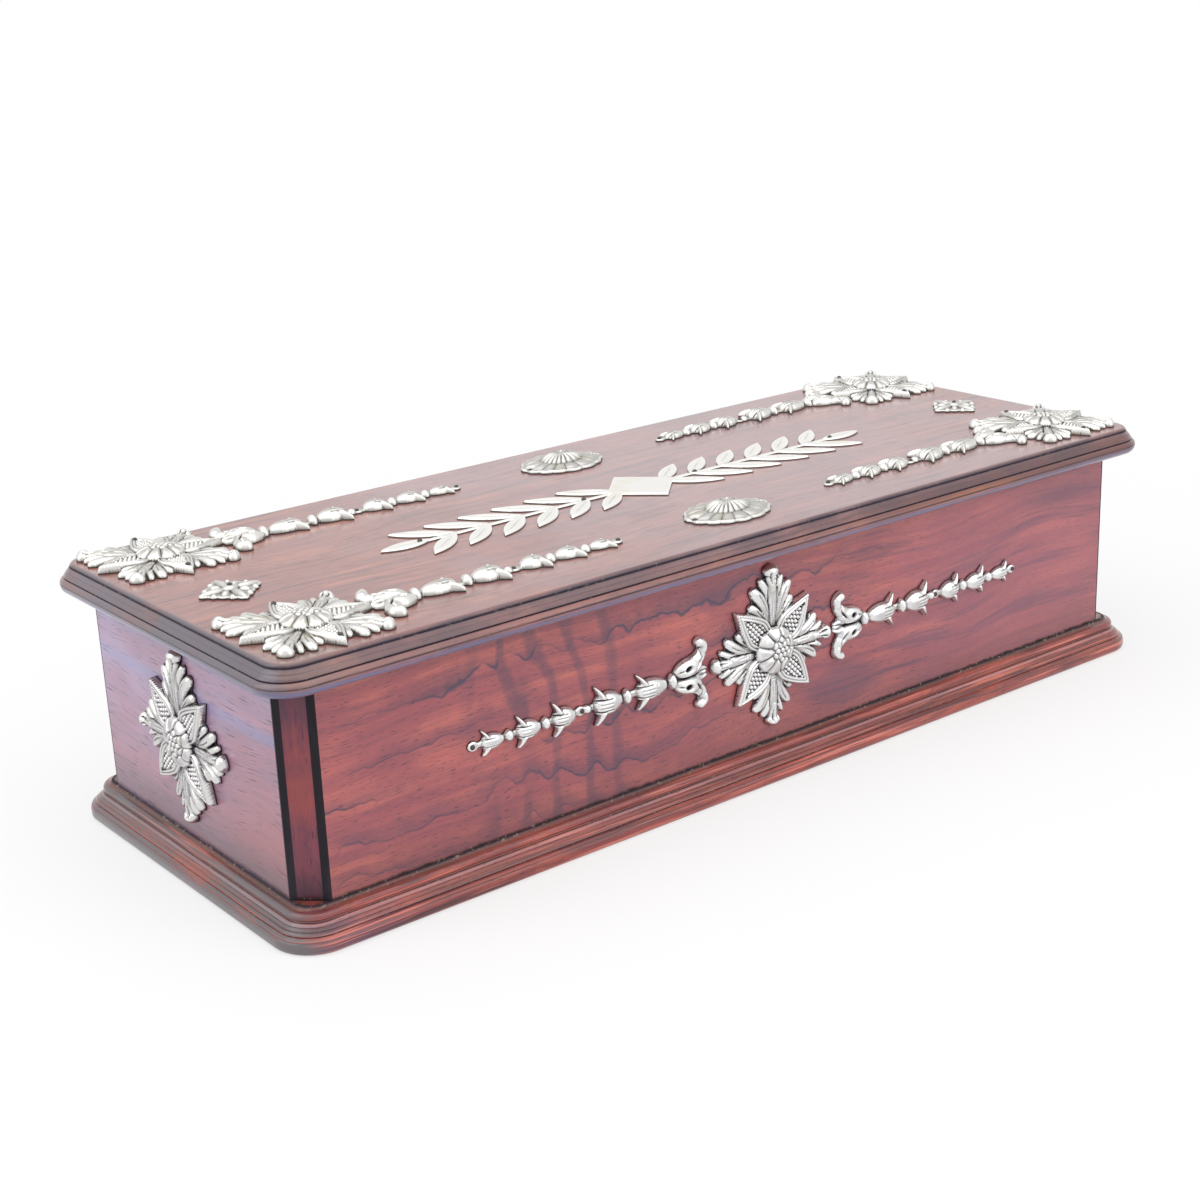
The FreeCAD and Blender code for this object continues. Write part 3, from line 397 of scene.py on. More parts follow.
@dataclass(frozen=True)
class Rosewood:
    """Varnished rosewood with its own colours, figure, direction of grain and dirt, with painted shade and a
    painted sheen.
    """

    name: str
    light: Colour
    mid: Colour
    dark: Colour
    turn: Triple = (0.0, 0.0, 0.0)
    shift: Triple = (0.0, 0.0, 0.0)
    veins: float = 0.6
    strokes: float = 0.3
    pores: float = 0.6
    pore_pitch: float = 260.0
    vein_end: float | None = None
    bands: CrossBands | None = None
    patches: tuple[Patch, ...] = ()
    moulded: bool = False
    grime_and_shade: float = 1.0
    dust: float = 0.5
    film: Colour = (0.075, 0.060, 0.062)
    reed_highlights_and_shade: float = 0.0
    foot_shade: float = 0.0
    painted_sheen: Colour = (0.42, 0.36, 0.46)
    painted_sheen_share: float = 0.0
    painted_sheen_fall: float = 0.0
    end_sheen: Colour = (0.2, 0.19, 0.22)
    end_sheen_share: float = 0.0
    end_sheen_floor: float = 0.2
    end_span: Point = (0.1815, 0.1845)
    varnish: float = 0.6
    gloss: float = 0.5

    def material(self, figure: Tree) -> Material:
        """Makes the material.

        Args:
            figure: the shared figure group.

        Returns:
            The material.
        """
        material, graph, shader = new_material(self.name)
        place = run = object_coordinates(graph)
        if self.moulded:
            unrolled = graph.node("ShaderNodeUVMap", uv_map=RUN).outputs[0]
            along, across, _ = graph.split(unrolled)
            run = graph.joined(along, 0.0, across)
        turned = graph.node("ShaderNodeMapping", {
            "Vector": run, "Location": self.shift, "Rotation": tuple(map(math.radians, self.turn))})
        turned = turned.outputs[0]
        values = {"Vector": turned, "Light": self.light, "Mid": self.mid, "Dark": self.dark,
                  "Veins": self.veins, "Strokes": self.strokes, "Pores": self.pores,
                  "Pore Pitch": self.pore_pitch}
        if self.vein_end is not None:
            values.update(self.sides(graph, place))
        if self.bands:
            band, values["Ripple"] = self.bands.masks(graph, place)
        wood = graph.node("ShaderNodeGroup", values, node_tree=figure)
        colour = wood.outputs["Color"]
        if self.bands:
            colour = graph.mix(band, colour, self.dark)
        for patch in self.patches:
            colour = patch.over(graph, place, colour)
        # Painted highlights and shade: pale and dark lines along the run stand in for light on fine reeds
        if self.reed_highlights_and_shade:
            pale = tuple(1.25 * part + 0.08 for part in self.light)
            kinds = (((14.0, 1.0, 640.0), 0.54, pale), ((18.0, 3.0, 820.0), 0.55, self.dark))
            for stretch, low, tint in kinds:
                fine_lines = graph.noise(run, stretch, 2.0, 0.6)
                colour = graph.mix(graph.step(fine_lines, low, 0.63, 0.0, self.reed_highlights_and_shade), colour, tint)
        dirt_and_shade: float | Socket = 0.0
        if self.foot_shade:
            colour, dirt_and_shade = self.foot_shade_and_dirt(graph, place, colour)
        # Painted sheen: a pale reflection mixed into the base colour, weaker on the pores
        painted_sheen = self.painted_sheen_mask(graph, place)
        if self.moulded:
            colour, dirt_and_shade = self.soil_shade_and_sheen(graph, place, colour)
        painted_sheen = graph.times(painted_sheen, graph.scaled(wood.outputs["Pore"], -0.8, 1.0), True)
        graph.fill(shader, {
            "Base Color": graph.mix(painted_sheen, colour, self.painted_sheen),
            "Roughness": graph.scaled(dirt_and_shade, 0.55, wood.outputs["Roughness"]),
            "Normal": graph.bump(wood.outputs["Height"], 0.12, 0.0004),
            "Coat Weight": graph.scaled(dirt_and_shade, -self.varnish, self.varnish),
            "Coat Roughness": 0.12, "Specular IOR Level": self.gloss})
        return material

    def sides(self, graph: Graph, place: Socket) -> dict[str, Socket]:
        """Lets the veins of a long board die out towards +X, where strokes take over.

        Args:
            graph: the graph to add to.
            place: the piece's own coordinates.

        Returns:
            The sockets for the figure's veins and strokes.
        """
        along = graph.split(place)[0]
        cloud = graph.noise(place, (20.0, 20.0, 40.0), 2.0)
        rough = graph.scaled(cloud, 0.08, graph.math("SUBTRACT", along, 0.04))
        past = graph.step(rough, self.vein_end - 0.02, self.vein_end + 0.03)
        return {"Veins": graph.scaled(past, -0.92 * self.veins, self.veins),
                "Strokes": graph.scaled(past, 0.62 - self.strokes, self.strokes)}

    def painted_sheen_mask(self, graph: Graph, place: Socket) -> Socket:
        """Makes the mask of a painted pale sheen, a reflection painted on the varnish, stronger high up and
        at the back of a wall; on a moulding it lies where the recess value is below 0.

        Args:
            graph: the graph to add to.
            place: the piece's own coordinates.

        Returns:
            The socket with the mask.
        """
        _, depth, height = graph.split(place)
        cloud = graph.step(graph.noise(place, (30.0, 30.0, 60.0), 2.0), 0.3, 0.7, 0.75, 1.2)
        if not self.moulded:
            least, most = 1.0 - self.painted_sheen_fall, 1.0 + self.painted_sheen_fall
            lean = graph.step(graph.scaled(height, 1.6, depth), -0.03, 0.16, least, most)
            outside = graph.step(height, *WALL_TOP_SPAN, self.painted_sheen_share, 0.2 * self.painted_sheen_share)
            lean = graph.times(lean, graph.step(height, *LOW_SHEEN_SPAN, 0.45, 1.0))
            return graph.times(graph.times(cloud, lean), outside)
        raised = graph.attribute(RECESS)
        return graph.times(cloud, graph.times(raised, -1.0, True), True)

    def foot_shade_and_dirt(self, graph: Graph, place: Socket,
                  colour: Socket) -> tuple[Socket, Socket]:
        """Paints shade on a wall under the lid and towards its foot, and lays a line of dirt with specks of
        dust in the corner at its foot.

        Args:
            graph: the graph to add to.
            place: the piece's own coordinates.
            colour: the clean colour.

        Returns:
            The sockets with the shaded, dirty colour and with the mask of the line of dirt.
        """
        height = graph.split(place)[2]
        cloud = graph.noise(place, (260.0, 260.0, 120.0), 3.0)
        rough = graph.scaled(cloud, 0.0016, graph.math("SUBTRACT", height, 0.0008))
        # Painted shade: darker towards the foot of the wall and under the lid
        shade = graph.math("MAXIMUM", graph.step(height, *FOOT_SHADE_SPAN, self.foot_shade, 0.0),
                           graph.step(height, *UNDER_LID_SPAN, 0.0, 0.6 * self.foot_shade))
        colour = graph.mix(shade, colour, FOOT_SHADE)
        line = graph.step(rough, *FOOT_DIRT_SPAN, 1.0, 0.0)
        colour = graph.mix(line, colour, FOOT_DIRT)
        specks = graph.step(graph.noise(place, (800.0, 800.0, 800.0), 3.0), 0.6, 0.68, 0.0, 0.55)
        return graph.mix(graph.times(specks, line), colour, FOOT_DUST), line

    def soil_shade_and_sheen(self, graph: Graph, place: Socket,
             colour: Socket) -> tuple[Socket, Socket]:
        """Lays a dull film on worn mouldings where their dirt and painted shade lie, a painted sheen on their
        ends, dirt and painted shade in their quirks and specks of dust on the dirt.

        Args:
            graph: the graph to add to.
            place: the piece's own coordinates.
            colour: the clean colour.

        Returns:
            The sockets with the soiled and shaded colour and with the mask of the dirt and painted shade.
        """
        hollow = graph.attribute(RECESS)
        cloud = graph.noise(place, (45.0, 45.0, 45.0), 3.0)
        patch = graph.step(cloud, 0.3, 0.62, 0.45 * self.grime_and_shade, 1.2 * self.grime_and_shade)
        colour = graph.mix(graph.times(hollow, patch, True), colour, self.film)
        length = graph.split(place)[0]
        # Painted sheen: a grey reflection painted on the ends of the moulding, weaker in its hollows
        ends = graph.step(graph.math("ABSOLUTE", length), *self.end_span, 0.0, self.end_sheen_share)
        ends = graph.times(ends, graph.step(hollow, 0.05, 0.45, 1.0, self.end_sheen_floor))
        colour = graph.mix(graph.times(ends, patch, True), colour, self.end_sheen)
        # Quirks: dirt with painted shade
        deep = graph.step(hollow, 0.55, 1.0)
        colour = graph.mix(deep, colour, QUIRK_DIRT_AND_SHADE)
        specks = graph.step(graph.noise(place, (620.0, 620.0, 900.0), 3.0), 0.59, 0.68, 0.0, self.dust)
        dusty = graph.step(hollow, 0.3, 0.95)
        return graph.mix(graph.times(specks, dusty), colour, QUIRK_DUST), deep


@dataclass(frozen=True)
class Metal:
    """A metal with rubbed high places, wear with a painted highlight, and darkened hollows, tarnish with
    painted shade.
    """

    name: str
    bright: Colour
    plain: Colour
    tarnish_and_shade: Colour
    roughness: float
    brushed: bool = False

    def material(self, tarnish_and_shade: Tree) -> Material:
        """Makes the material.

        Args:
            tarnish_and_shade: the shared group of tarnish and painted shade.

        Returns:
            The material.
        """
        material, graph, shader = new_material(self.name)
        place = object_coordinates(graph)
        worn = graph.node("ShaderNodeGroup", {"Vector": place}, node_tree=tarnish_and_shade)
        warm = tuple(part * share for part, share in zip(self.plain, (0.97, 0.93, 0.84)))
        tone = graph.mix(graph.step(worn.outputs["Cloud"], 0.48, 0.75), self.plain, warm)
        # Rubbed high places: wear with a painted highlight; hollows: tarnish with painted shade
        tone = graph.mix(worn.outputs["Rubbed And Highlit"], tone, self.bright)
        stretch = (60.0, 2600.0, 2600.0) if self.brushed else (1400.0, 1400.0, 1400.0)
        fine_lines = graph.noise(place, stretch, 3.0)
        dull = graph.scaled(worn.outputs["Hollow"], 0.3, self.roughness - 0.07)
        graph.fill(shader, {
            "Base Color": graph.mix(worn.outputs["Hollow"], tone, self.tarnish_and_shade), "Metallic": 1.0,
            "Roughness": graph.scaled(fine_lines, 0.14, dull), "Normal": graph.bump(fine_lines, 0.05, 0.0001)})
        return material


@dataclass(frozen=True)
class Velvet:
    """Short-piled velvet."""

    name: str
    pile: Colour
    crushed: Colour
    sheen: Colour

    def material(self) -> Material:
        """Makes the material.

        Returns:
            The material.
        """
        material, graph, shader = new_material(self.name)
        place = object_coordinates(graph)
        crush = graph.noise(place, (24.0, 24.0, 24.0), 4.0, 0.6, 0.6)
        pile = graph.noise(place, (2600.0, 2600.0, 2600.0), 2.0)
        rows = graph.noise(place, (180.0, 1500.0, 1500.0), 2.0)
        tone = graph.mix(graph.step(crush, 0.35, 0.7), self.pile, self.crushed)
        tone = graph.mix(graph.step(pile, 0.35, 0.7, 0.0, 0.35), tone, PILE_ROOT)
        height = graph.math("ADD", pile, graph.times(rows, 0.4))
        graph.fill(shader, {
            "Base Color": tone, "Roughness": 0.95, "Normal": graph.bump(height, 0.4, 0.0003),
            "Sheen Weight": 0.8, "Sheen Roughness": 0.35, "Sheen Tint": self.sheen})
        return material


class Finishes:
    """Every finish of the box, made once."""

    def __init__(self) -> None:
        """Makes the shared groups and the materials."""
        figure, tarnish_and_shade = figure_group(), tarnish_and_shade_group()
        plum, night = (0.37, 0.105, 0.155), (0.066, 0.030, 0.080)
        far = 9.0
        front_patches = (
            Patch((0.13, 0.0, 0.05), (0.12, far, 0.09), plum, 0.4),
            Patch((0.036, 0.0, 0.023), (0.036, far, 0.010), night, 0.42),
            # Painted shade under the lid: the next two thin dark patches high on the front
            Patch((0.148, 0.0, 0.067), (0.040, far, 0.007), night, 0.5),
            Patch((-0.02, 0.0, 0.070), (0.050, far, 0.006), night, 0.35))
        end_patches = (
            Patch((0.0, 0.0, 0.0605), (far, far, 0.0034), (0.09, 0.11, 0.28), 0.6),
            Patch((0.0, 0.0, 0.0735), (far, far, 0.003), (0.16, 0.15, 0.32), 0.35),
            Patch((0.0, -0.045, 0.026), (far, 0.055, 0.020), (0.34, 0.075, 0.075), 0.5))
        post_patches = (
            # Painted shade: the dark patches at the top of the post, under the lid, and at its foot
            Patch((0.0, 0.0, 0.078), (far, far, 0.014), (0.085, 0.034, 0.066), 0.7),
            Patch((0.0, 0.0, 0.047), (far, far, 0.018), (0.36, 0.070, 0.052), 0.5),
            Patch((0.0, 0.0, 0.010), (far, far, 0.013), (0.040, 0.016, 0.036), 0.7))
        lid_patches = (
            # Painted sheen: the pale patch over the top of the lid
            Patch((0.05, 0.0, 0.0875), (0.20, far, 0.004), (0.40, 0.355, 0.41), 0.3),
            Patch((0.13, -0.0725, 0.0812), (0.20, 0.012, 0.0095), (0.125, 0.026, 0.018), 0.85),
            Patch((0.085, -0.07, 0.0812), (0.045, 0.05, 0.0022), (0.50, 0.16, 0.055), 0.7),
            # Painted highlight: the pale patch on the front left corner of the lid
            Patch((-0.18, -0.066, 0.083), (0.03, 0.03, 0.02), (0.22, 0.17, 0.145), 0.45))
        plinth_patches = (
            Patch((-0.1845, 0.0, 0.0112), (0.008, 0.15, 0.005), (0.060, 0.021, 0.013), 0.85),
            Patch((-0.186, -0.070, 0.003), (0.060, 0.050, 0.012), (0.115, 0.065, 0.110), 0.6),
            # Painted reflection: the bluish patch along the bottom of the left end
            Patch((-0.19, 0.0, 0.001), (0.05, 0.09, 0.004), (0.22, 0.20, 0.34), 0.4))
        woods = (
            Rosewood("rosewood_front", (0.56, 0.130, 0.106), (0.33, 0.064, 0.084), (0.052, 0.026, 0.068),
                     shift=(0.31, 0.0, 0.02), veins=1.0, strokes=0.15, pores=0.7, vein_end=0.035,
                     bands=CrossBands(), patches=front_patches, foot_shade=0.32),
            Rosewood("rosewood_back", (0.40, 0.095, 0.078), (0.25, 0.052, 0.058), (0.055, 0.024, 0.045),
                     shift=(1.7, 0.0, 0.4), veins=0.7, strokes=0.4, pores=0.7, foot_shade=0.45),
            Rosewood("rosewood_end", (0.40, 0.100, 0.098), (0.27, 0.062, 0.076), (0.042, 0.024, 0.052),
                     turn=(0.0, 0.0, QUARTER), shift=(0.6, 0.2, 0.1), veins=0.2, strokes=0.3, pores=1.0,
                     pore_pitch=85.0, patches=end_patches, foot_shade=0.7, painted_sheen=(0.47, 0.42, 0.70),
                     painted_sheen_share=0.33, painted_sheen_fall=0.5),
            Rosewood("rosewood_post", (0.31, 0.058, 0.062), (0.165, 0.044, 0.074), (0.042, 0.020, 0.052),
                     turn=(0.0, QUARTER, 0.0), shift=(2.3, 0.0, 0.3), veins=0.8, strokes=0.4,
                     patches=post_patches, foot_shade=0.4, varnish=0.2, gloss=0.3),
            Rosewood("rosewood_lid", (0.47, 0.175, 0.126), (0.275, 0.102, 0.094), (0.060, 0.030, 0.038),
                     shift=(3.1, 0.5, 0.1), veins=0.12, strokes=0.5, pores=0.6, pore_pitch=120.0,
                     patches=lid_patches, moulded=True, grime_and_shade=1.25, dust=0.2, film=(0.060, 0.028, 0.043),
                     painted_sheen=(0.12, 0.115, 0.255), end_sheen=(0.118, 0.110, 0.140), end_sheen_share=0.62,
                     end_sheen_floor=0.85),
            Rosewood("rosewood_plinth", (0.54, 0.102, 0.060), (0.28, 0.050, 0.046), (0.042, 0.017, 0.028),
                     shift=(4.7, 0.2, 0.7), veins=0.25, strokes=0.45, pores=0.6, patches=plinth_patches,
                     moulded=True, film=(0.085, 0.034, 0.020), reed_highlights_and_shade=0.75,
                     end_sheen=(0.145, 0.122, 0.130), end_sheen_share=1.1, end_sheen_floor=0.0,
                     end_span=(0.174, 0.188), painted_sheen=(0.46, 0.31, 0.34), gloss=0.35),
            Rosewood("ebony", (0.026, 0.020, 0.030), (0.012, 0.009, 0.014), (0.004, 0.003, 0.004),
                     turn=(0.0, QUARTER, 0.0), veins=0.2, strokes=0.4, pores=0.3, varnish=0.0, gloss=0.2),
        )
        metals = (
            Metal("silver", (0.80, 0.80, 0.80), (0.54, 0.53, 0.53), (0.050, 0.045, 0.052), 0.27),
            # Shaded copies: the end silver is darker for the end faces; the lid silver is darker for the top
            # of the lid, and also warmer and more tarnished
            Metal("silver_end_shaded", (0.72, 0.71, 0.70), (0.45, 0.44, 0.45), (0.034, 0.030, 0.040), 0.26),
            Metal("silver_lid_shaded", (0.71, 0.70, 0.675), (0.50, 0.49, 0.465), (0.085, 0.078, 0.074), 0.34),
            Metal("flat_silver", (0.90, 0.89, 0.86), (0.84, 0.83, 0.80), (0.16, 0.14, 0.12), 0.36, True),
            Metal("pin_steel", (0.16, 0.15, 0.15), (0.09, 0.085, 0.08), (0.03, 0.025, 0.02), 0.45),
            Metal("brass", (0.72, 0.53, 0.26), (0.52, 0.36, 0.16), (0.12, 0.07, 0.03), 0.34),
            Metal("screw_steel", (0.46, 0.44, 0.42), (0.30, 0.26, 0.22), (0.06, 0.045, 0.035), 0.4),
        )
        self.named = {wood.name: wood.material(figure) for wood in woods}
        self.named.update({metal.name: metal.material(tarnish_and_shade) for metal in metals})
        velvet = Velvet("velvet", (0.20, 0.012, 0.028), (0.12, 0.006, 0.016), (0.75, 0.20, 0.25))
        self.named[velvet.name] = velvet.material()

    def __getitem__(self, name: str) -> Material:
        """Gives the material of a finish."""
        return self.named[name]


# Meshes into pieces


def finish_piece(bm: Shape, name: str, body: Body, material: Material,
                 nodes: tuple[str, ...] = (), sharp: float | None = None) -> None:
    """Turns a bmesh into a piece that rides on a body.

    Args:
        bm: the shape in metres, which is freed.
        name: the piece's name.
        body: the body that it rides on.
        material: its finish.
        nodes: CAD nodes that it replaces.
        sharp: angle in degrees over which an edge stays sharp, if edges are to be found by angle.
    """
    for face in bm.faces:
        face.smooth = True
    mesh = bpy.data.meshes.new(name)
    bm.to_mesh(mesh)
    bm.free()
    if sharp is not None:
        mesh.set_sharp_from_angle(angle=math.radians(sharp))
    mesh.materials.append(material)
    piece = bpy.data.objects.new(name, mesh)
    bpy.context.scene.collection.objects.link(piece)
    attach(piece, body.value)
    if nodes:
        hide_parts(*nodes)
    LOG.info("piece %s: %d faces on %s", name, len(mesh.polygons), body.value)


def dress(node: str, material: Material) -> None:
    """Gives a CAD node a finish and leaves its shape alone.

    Args:
        node: the CAD node.
        material: its finish.
    """
    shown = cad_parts[node]
    for slot in shown.material_slots:
        slot.material = material
    if not shown.material_slots:
        shown.data.materials.append(material)
    LOG.info("node %s: %s", node, material.name)


def smooth_copy(node: str, body: Body, material: Material) -> None:
    """Replaces a CAD node by a merged copy with smooth round faces.

    Args:
        node: the CAD node.
        body: the body that it rides on.
        material: its finish.
    """
    bm = bmesh.new()
    bm.from_mesh(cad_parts[node].data)
    bmesh.ops.remove_doubles(bm, verts=bm.verts, dist=0.002 * MM)
    finish_piece(bm, f"{node}.smooth", body, material, (node,), 32.0)


def picked(geometry: list, kind: type) -> list:
    """Picks the parts of one kind out of an operator's result."""
    return [part for part in geometry if isinstance(part, kind)]


def open_edges(bm: Shape) -> list[bmesh.types.BMEdge]:
    """Lists the edges along which a shape is open."""
    return [edge for edge in bm.edges if edge.is_boundary]


# Stamped relief


def turned_back(x: Grid, y: Grid, degrees: float) -> Field:
    """Turns points clockwise, into the axes of a form that is turned by an angle.

    Args:
        x: places along X.
        y: places along Y.
        degrees: the form's angle.

    Returns:
        The places along and across the form.
    """
    angle = math.radians(degrees)
    return x * math.cos(angle) + y * math.sin(angle), y * math.cos(angle) - x * math.sin(angle)


class Stamped(ABC):
    """A form in a stamped sheet, drawn on XY in millimetres."""

    @abstractmethod
    def at(self, x: Grid, y: Grid) -> Field:
        """Measures the form at points.

        Args:
            x: places along X.
            y: places along Y.

        Returns:
            How far inside the outline each point is, below 0 outside, and how high the form rises there.
        """


@dataclass(frozen=True)
class Ridge(Stamped):
    """A half-round ridge along a bent line, whose radius goes through three values."""

    start: Point
    bend: Point
    tip: Point
    radii: Triple
    height: float
    samples: int = 22

    def at(self, x: Grid, y: Grid) -> Field:
        """Measures the ridge at points."""
        inside = np.full(x.shape, FAR_OUTSIDE)
        rise = np.zeros(x.shape)
        for share in np.linspace(0.0, 1.0, self.samples):
            weights = ((1 - share) ** 2, 2 * share * (1 - share), share ** 2)
            line = zip(weights, (self.start, self.bend, self.tip))
            centre = np.sum([[weight * place[0], weight * place[1]] for weight, place in line], axis=0)
            radius = sum(weight * part for weight, part in zip(weights, self.radii))
            left = radius ** 2 - (x - centre[0]) ** 2 - (y - centre[1]) ** 2
            inside = np.maximum(inside, left / (2 * radius))
            strength = (radius / max(self.radii)) ** 0.6
            rise = np.maximum(rise, self.height * strength * np.sqrt(np.maximum(left, 0.0)) / radius)
        return inside, rise


@dataclass(frozen=True)
class Dome(Stamped):
    """An oval dome, which may be turned."""

    centre: Point
    half_length: float
    half_width: float
    height: float
    degrees: float = 0.0
    fullness: float = 0.5

    def at(self, x: Grid, y: Grid) -> Field:
        """Measures the dome at points."""
        along, across = turned_back(x - self.centre[0], y - self.centre[1], self.degrees)
        left = 1.0 - (along / self.half_length) ** 2 - (across / self.half_width) ** 2
        inside = left * min(self.half_length, self.half_width) / 2
        return inside, self.height * np.maximum(left, 0.0) ** self.fullness


@dataclass(frozen=True)
class RimmedPetal(Stamped):
    """A pointed petal along +X with a double rim and rows of beads in its sunk middle."""

    start: float = 4.6
    reach: float = 23.0
    half_width: float = 5.7
    widest: float = 0.32
    taper: float = 1.35
    waist: float = 0.35
    arch: float = 0.6
    rim_groove: Triple = (0.55, 1.1, 0.2)
    rim: float = 1.95
    rim_height: float = 2.4
    field_height: float = 0.95
    bead_height: float = 1.25
    bead_radius: float = 0.78
    bead_pitch: float = 1.64

    def at(self, x: Grid, y: Grid) -> Field:
        """Measures the petal at points."""
        share = np.clip((x - self.start) / (self.reach - self.start), 0.0, 1.0)
        to_tip = np.clip((share - self.widest) / (1 - self.widest), 0, 1)
        to_base = np.clip((self.widest - share) / self.widest, 0, 1)
        edge = self.half_width * (1 - to_tip ** self.taper) * (1 - self.waist * to_base ** 2)
        beyond = np.maximum(np.maximum(self.start - x, x - self.reach), 0.0)
        inside = (edge - np.abs(y)) * 0.88 - beyond
        lift = self.arch * np.sin(np.pi * share)
        crown = np.clip(inside / 0.4, 0, 1) ** 0.5
        depth, inset, width = self.rim_groove
        rim = self.rim_height * crown - depth * np.exp(-((inside - inset) / width) ** 2)
        sunk = np.clip((inside - self.rim) / 0.25, 0, 1)
        rows = np.round(y / (ROW_SHARE * self.bead_pitch))
        shift = 0.5 * self.bead_pitch * (np.abs(rows) % 2)
        columns = np.round((x - shift) / self.bead_pitch)
        gap = (x - columns * self.bead_pitch - shift) ** 2 + (y - rows * ROW_SHARE * self.bead_pitch) ** 2
        bead = self.bead_height * np.sqrt(np.maximum(1 - gap / self.bead_radius ** 2, 0.0))
        bead = bead * np.clip((inside - self.rim - 0.1) / 0.3, 0, 1)
        return inside, lift + rim * (1 - sunk) + (self.field_height + bead) * sunk


@dataclass(frozen=True)
class ScaleBoss(Stamped):
    """A round boss of scales, large ones on one side and a core of small ones towards the other."""

    radius: float = 8.1
    height: float = 3.2
    large_side: float = 200.0
    scales: int = 9
    scale_size: float = 2.1
    size_swing: float = 0.8
    scale_height: float = 1.15
    cut: float = 0.7
    base: float = 0.9
    core: Point = (1.5, 0.3)
    core_radius: float = 3.5
    core_pitch: float = 1.95
    core_scale: float = 1.1

    def scale_rounds(self) -> list[Triple]:
        """Lists each scale's centre and size.

        Returns:
            The places along and across, and the sizes.
        """
        rounds = []
        for index in range(self.scales):
            angle = math.tau * (index + 0.5) / self.scales
            size = self.scale_size + self.size_swing * math.cos(angle - math.radians(self.large_side))
            reach = self.radius - 0.95 * size
            rounds.append((reach * math.cos(angle), reach * math.sin(angle), size))
        for row in range(-3, 4):
            for column in range(-3, 4):
                across = ROW_SHARE * self.core_pitch * row
                along = self.core_pitch * (column + 0.5 * (row % 2))
                if along ** 2 + across ** 2 < self.core_radius ** 2:
                    rounds.append((along + self.core[0], across + self.core[1], self.core_scale))
        return rounds

    def at(self, x: Grid, y: Grid) -> Field:
        """Measures the boss at points."""
        far = np.hypot(x, y)
        dome = self.height * np.sqrt(np.maximum(1 - (far / (self.radius * 1.05)) ** 2, 0.0))
        rounds = self.scale_rounds()
        reach = np.stack([np.hypot(x - along, y - across) / size for along, across, size in rounds])
        nearest = np.partition(reach, 1, axis=0)
        cell = np.clip((nearest[1] - nearest[0]) / self.cut, 0, 1) ** 0.55
        inside = self.radius - far - self.cut * (1 - cell)
        return inside, self.base + dome + self.scale_height * cell


@dataclass(frozen=True)
class FlutedOval(Stamped):
    """A wavy oval plate of uneven petals round a raised, ribbed shell."""

    half_length: float = 16.4
    half_width: float = 12.2
    lobes: int = 15
    ribs: int = 20
    shell: float = 0.52
    height: float = 4.6
    unevenness: float = 0.07
    petal_height: float = 0.85
    slope: float = 1.2
    edge_bead: float = 0.3
    rib_depth: float = 0.3

    def at(self, x: Grid, y: Grid) -> Field:
        """Measures the plate at points."""
        along, across = x / self.half_length, y / self.half_width
        far = np.sqrt(along ** 2 + across ** 2)
        angle = np.arctan2(across, along)
        uneven = angle + self.unevenness * np.sin(3 * angle + 0.8)
        lobe = np.abs(np.cos(self.lobes / 2 * uneven))
        inside = (0.93 + 0.06 * lobe ** 0.7 + 0.05 * np.abs(np.cos(angle)) ** 12 - far) * self.half_width
        wide = np.clip((far - self.shell) / (0.96 - self.shell), 0, 1)
        lump = np.sin(1.1 * x + 0.7) * np.sin(1.5 * y + 0.4)
        petal = lobe ** 0.5 * np.sin(np.pi * np.clip(0.12 + 0.8 * wide, 0, 1))
        plate = 0.3 + self.petal_height * petal + 0.16 * lump * wide + self.slope * (1 - wide) ** 1.3
        plate = plate + self.edge_bead * np.exp(-((inside - 0.45) / 0.35) ** 2)
        share = far / self.shell
        rib = np.abs(np.cos(self.ribs / 2 * uneven))
        ribbed = 1 - self.rib_depth * (1 - rib ** 0.6) * np.clip(share * 2.0 - 0.2, 0, 1)
        shell = self.height * np.sqrt(np.maximum(1 - (0.94 * share) ** 2, 0.0)) * ribbed
        return inside, np.maximum(plate, shell)


@dataclass(frozen=True)
class Lozenge(Stamped):
    """A flat four-cornered plate with its corners on the axes."""

    radius: float = 11.0
    height: float = 0.5
    scallop: float = 0.5

    def at(self, x: Grid, y: Grid) -> Field:
        """Measures the plate at points."""
        along = (np.abs(x) - np.abs(y)) / self.radius
        inside = (self.radius - np.abs(x) - np.abs(y)) * math.sqrt(0.5)
        inside = inside - self.scallop * (1 - np.abs(np.cos(2.5 * np.pi * along)))
        return inside, np.full(x.shape, self.height)


@dataclass(frozen=True)
class FlatLeaf(Stamped):
    """A flat pointed leaf along X with softened edges and an engraved midrib."""

    half_length: float
    half_width: float
    soft: float = 0.3
    rib: float = 0.3

    def at(self, x: Grid, y: Grid) -> Field:
        """Measures the leaf at points."""
        share = np.clip(np.abs(x) / self.half_length, 0.0, 1.0)
        beyond = np.maximum(np.abs(x) - self.half_length, 0.0)
        inside = self.half_width * (1 - share ** 2) - np.abs(y) - beyond
        engraved = self.rib * np.exp(-(y / 0.42) ** 2) * np.clip(2.4 * (0.78 - share), 0, 1)
        return inside, np.clip(inside, 0, self.soft) + self.rib - engraved


@dataclass(frozen=True)
class Moved(Stamped):
    """A form that is turned about the origin and then moved."""

    form: Stamped
    degrees: float = 0.0
    place: Point = (0.0, 0.0)
    size: float = 1.0

    def at(self, x: Grid, y: Grid) -> Field:
        """Measures the form at points given in the sheet's own axes."""
        dx, dy = (x - self.place[0]) / self.size, (y - self.place[1]) / self.size
        return self.form.at(*turned_back(dx, dy, self.degrees))


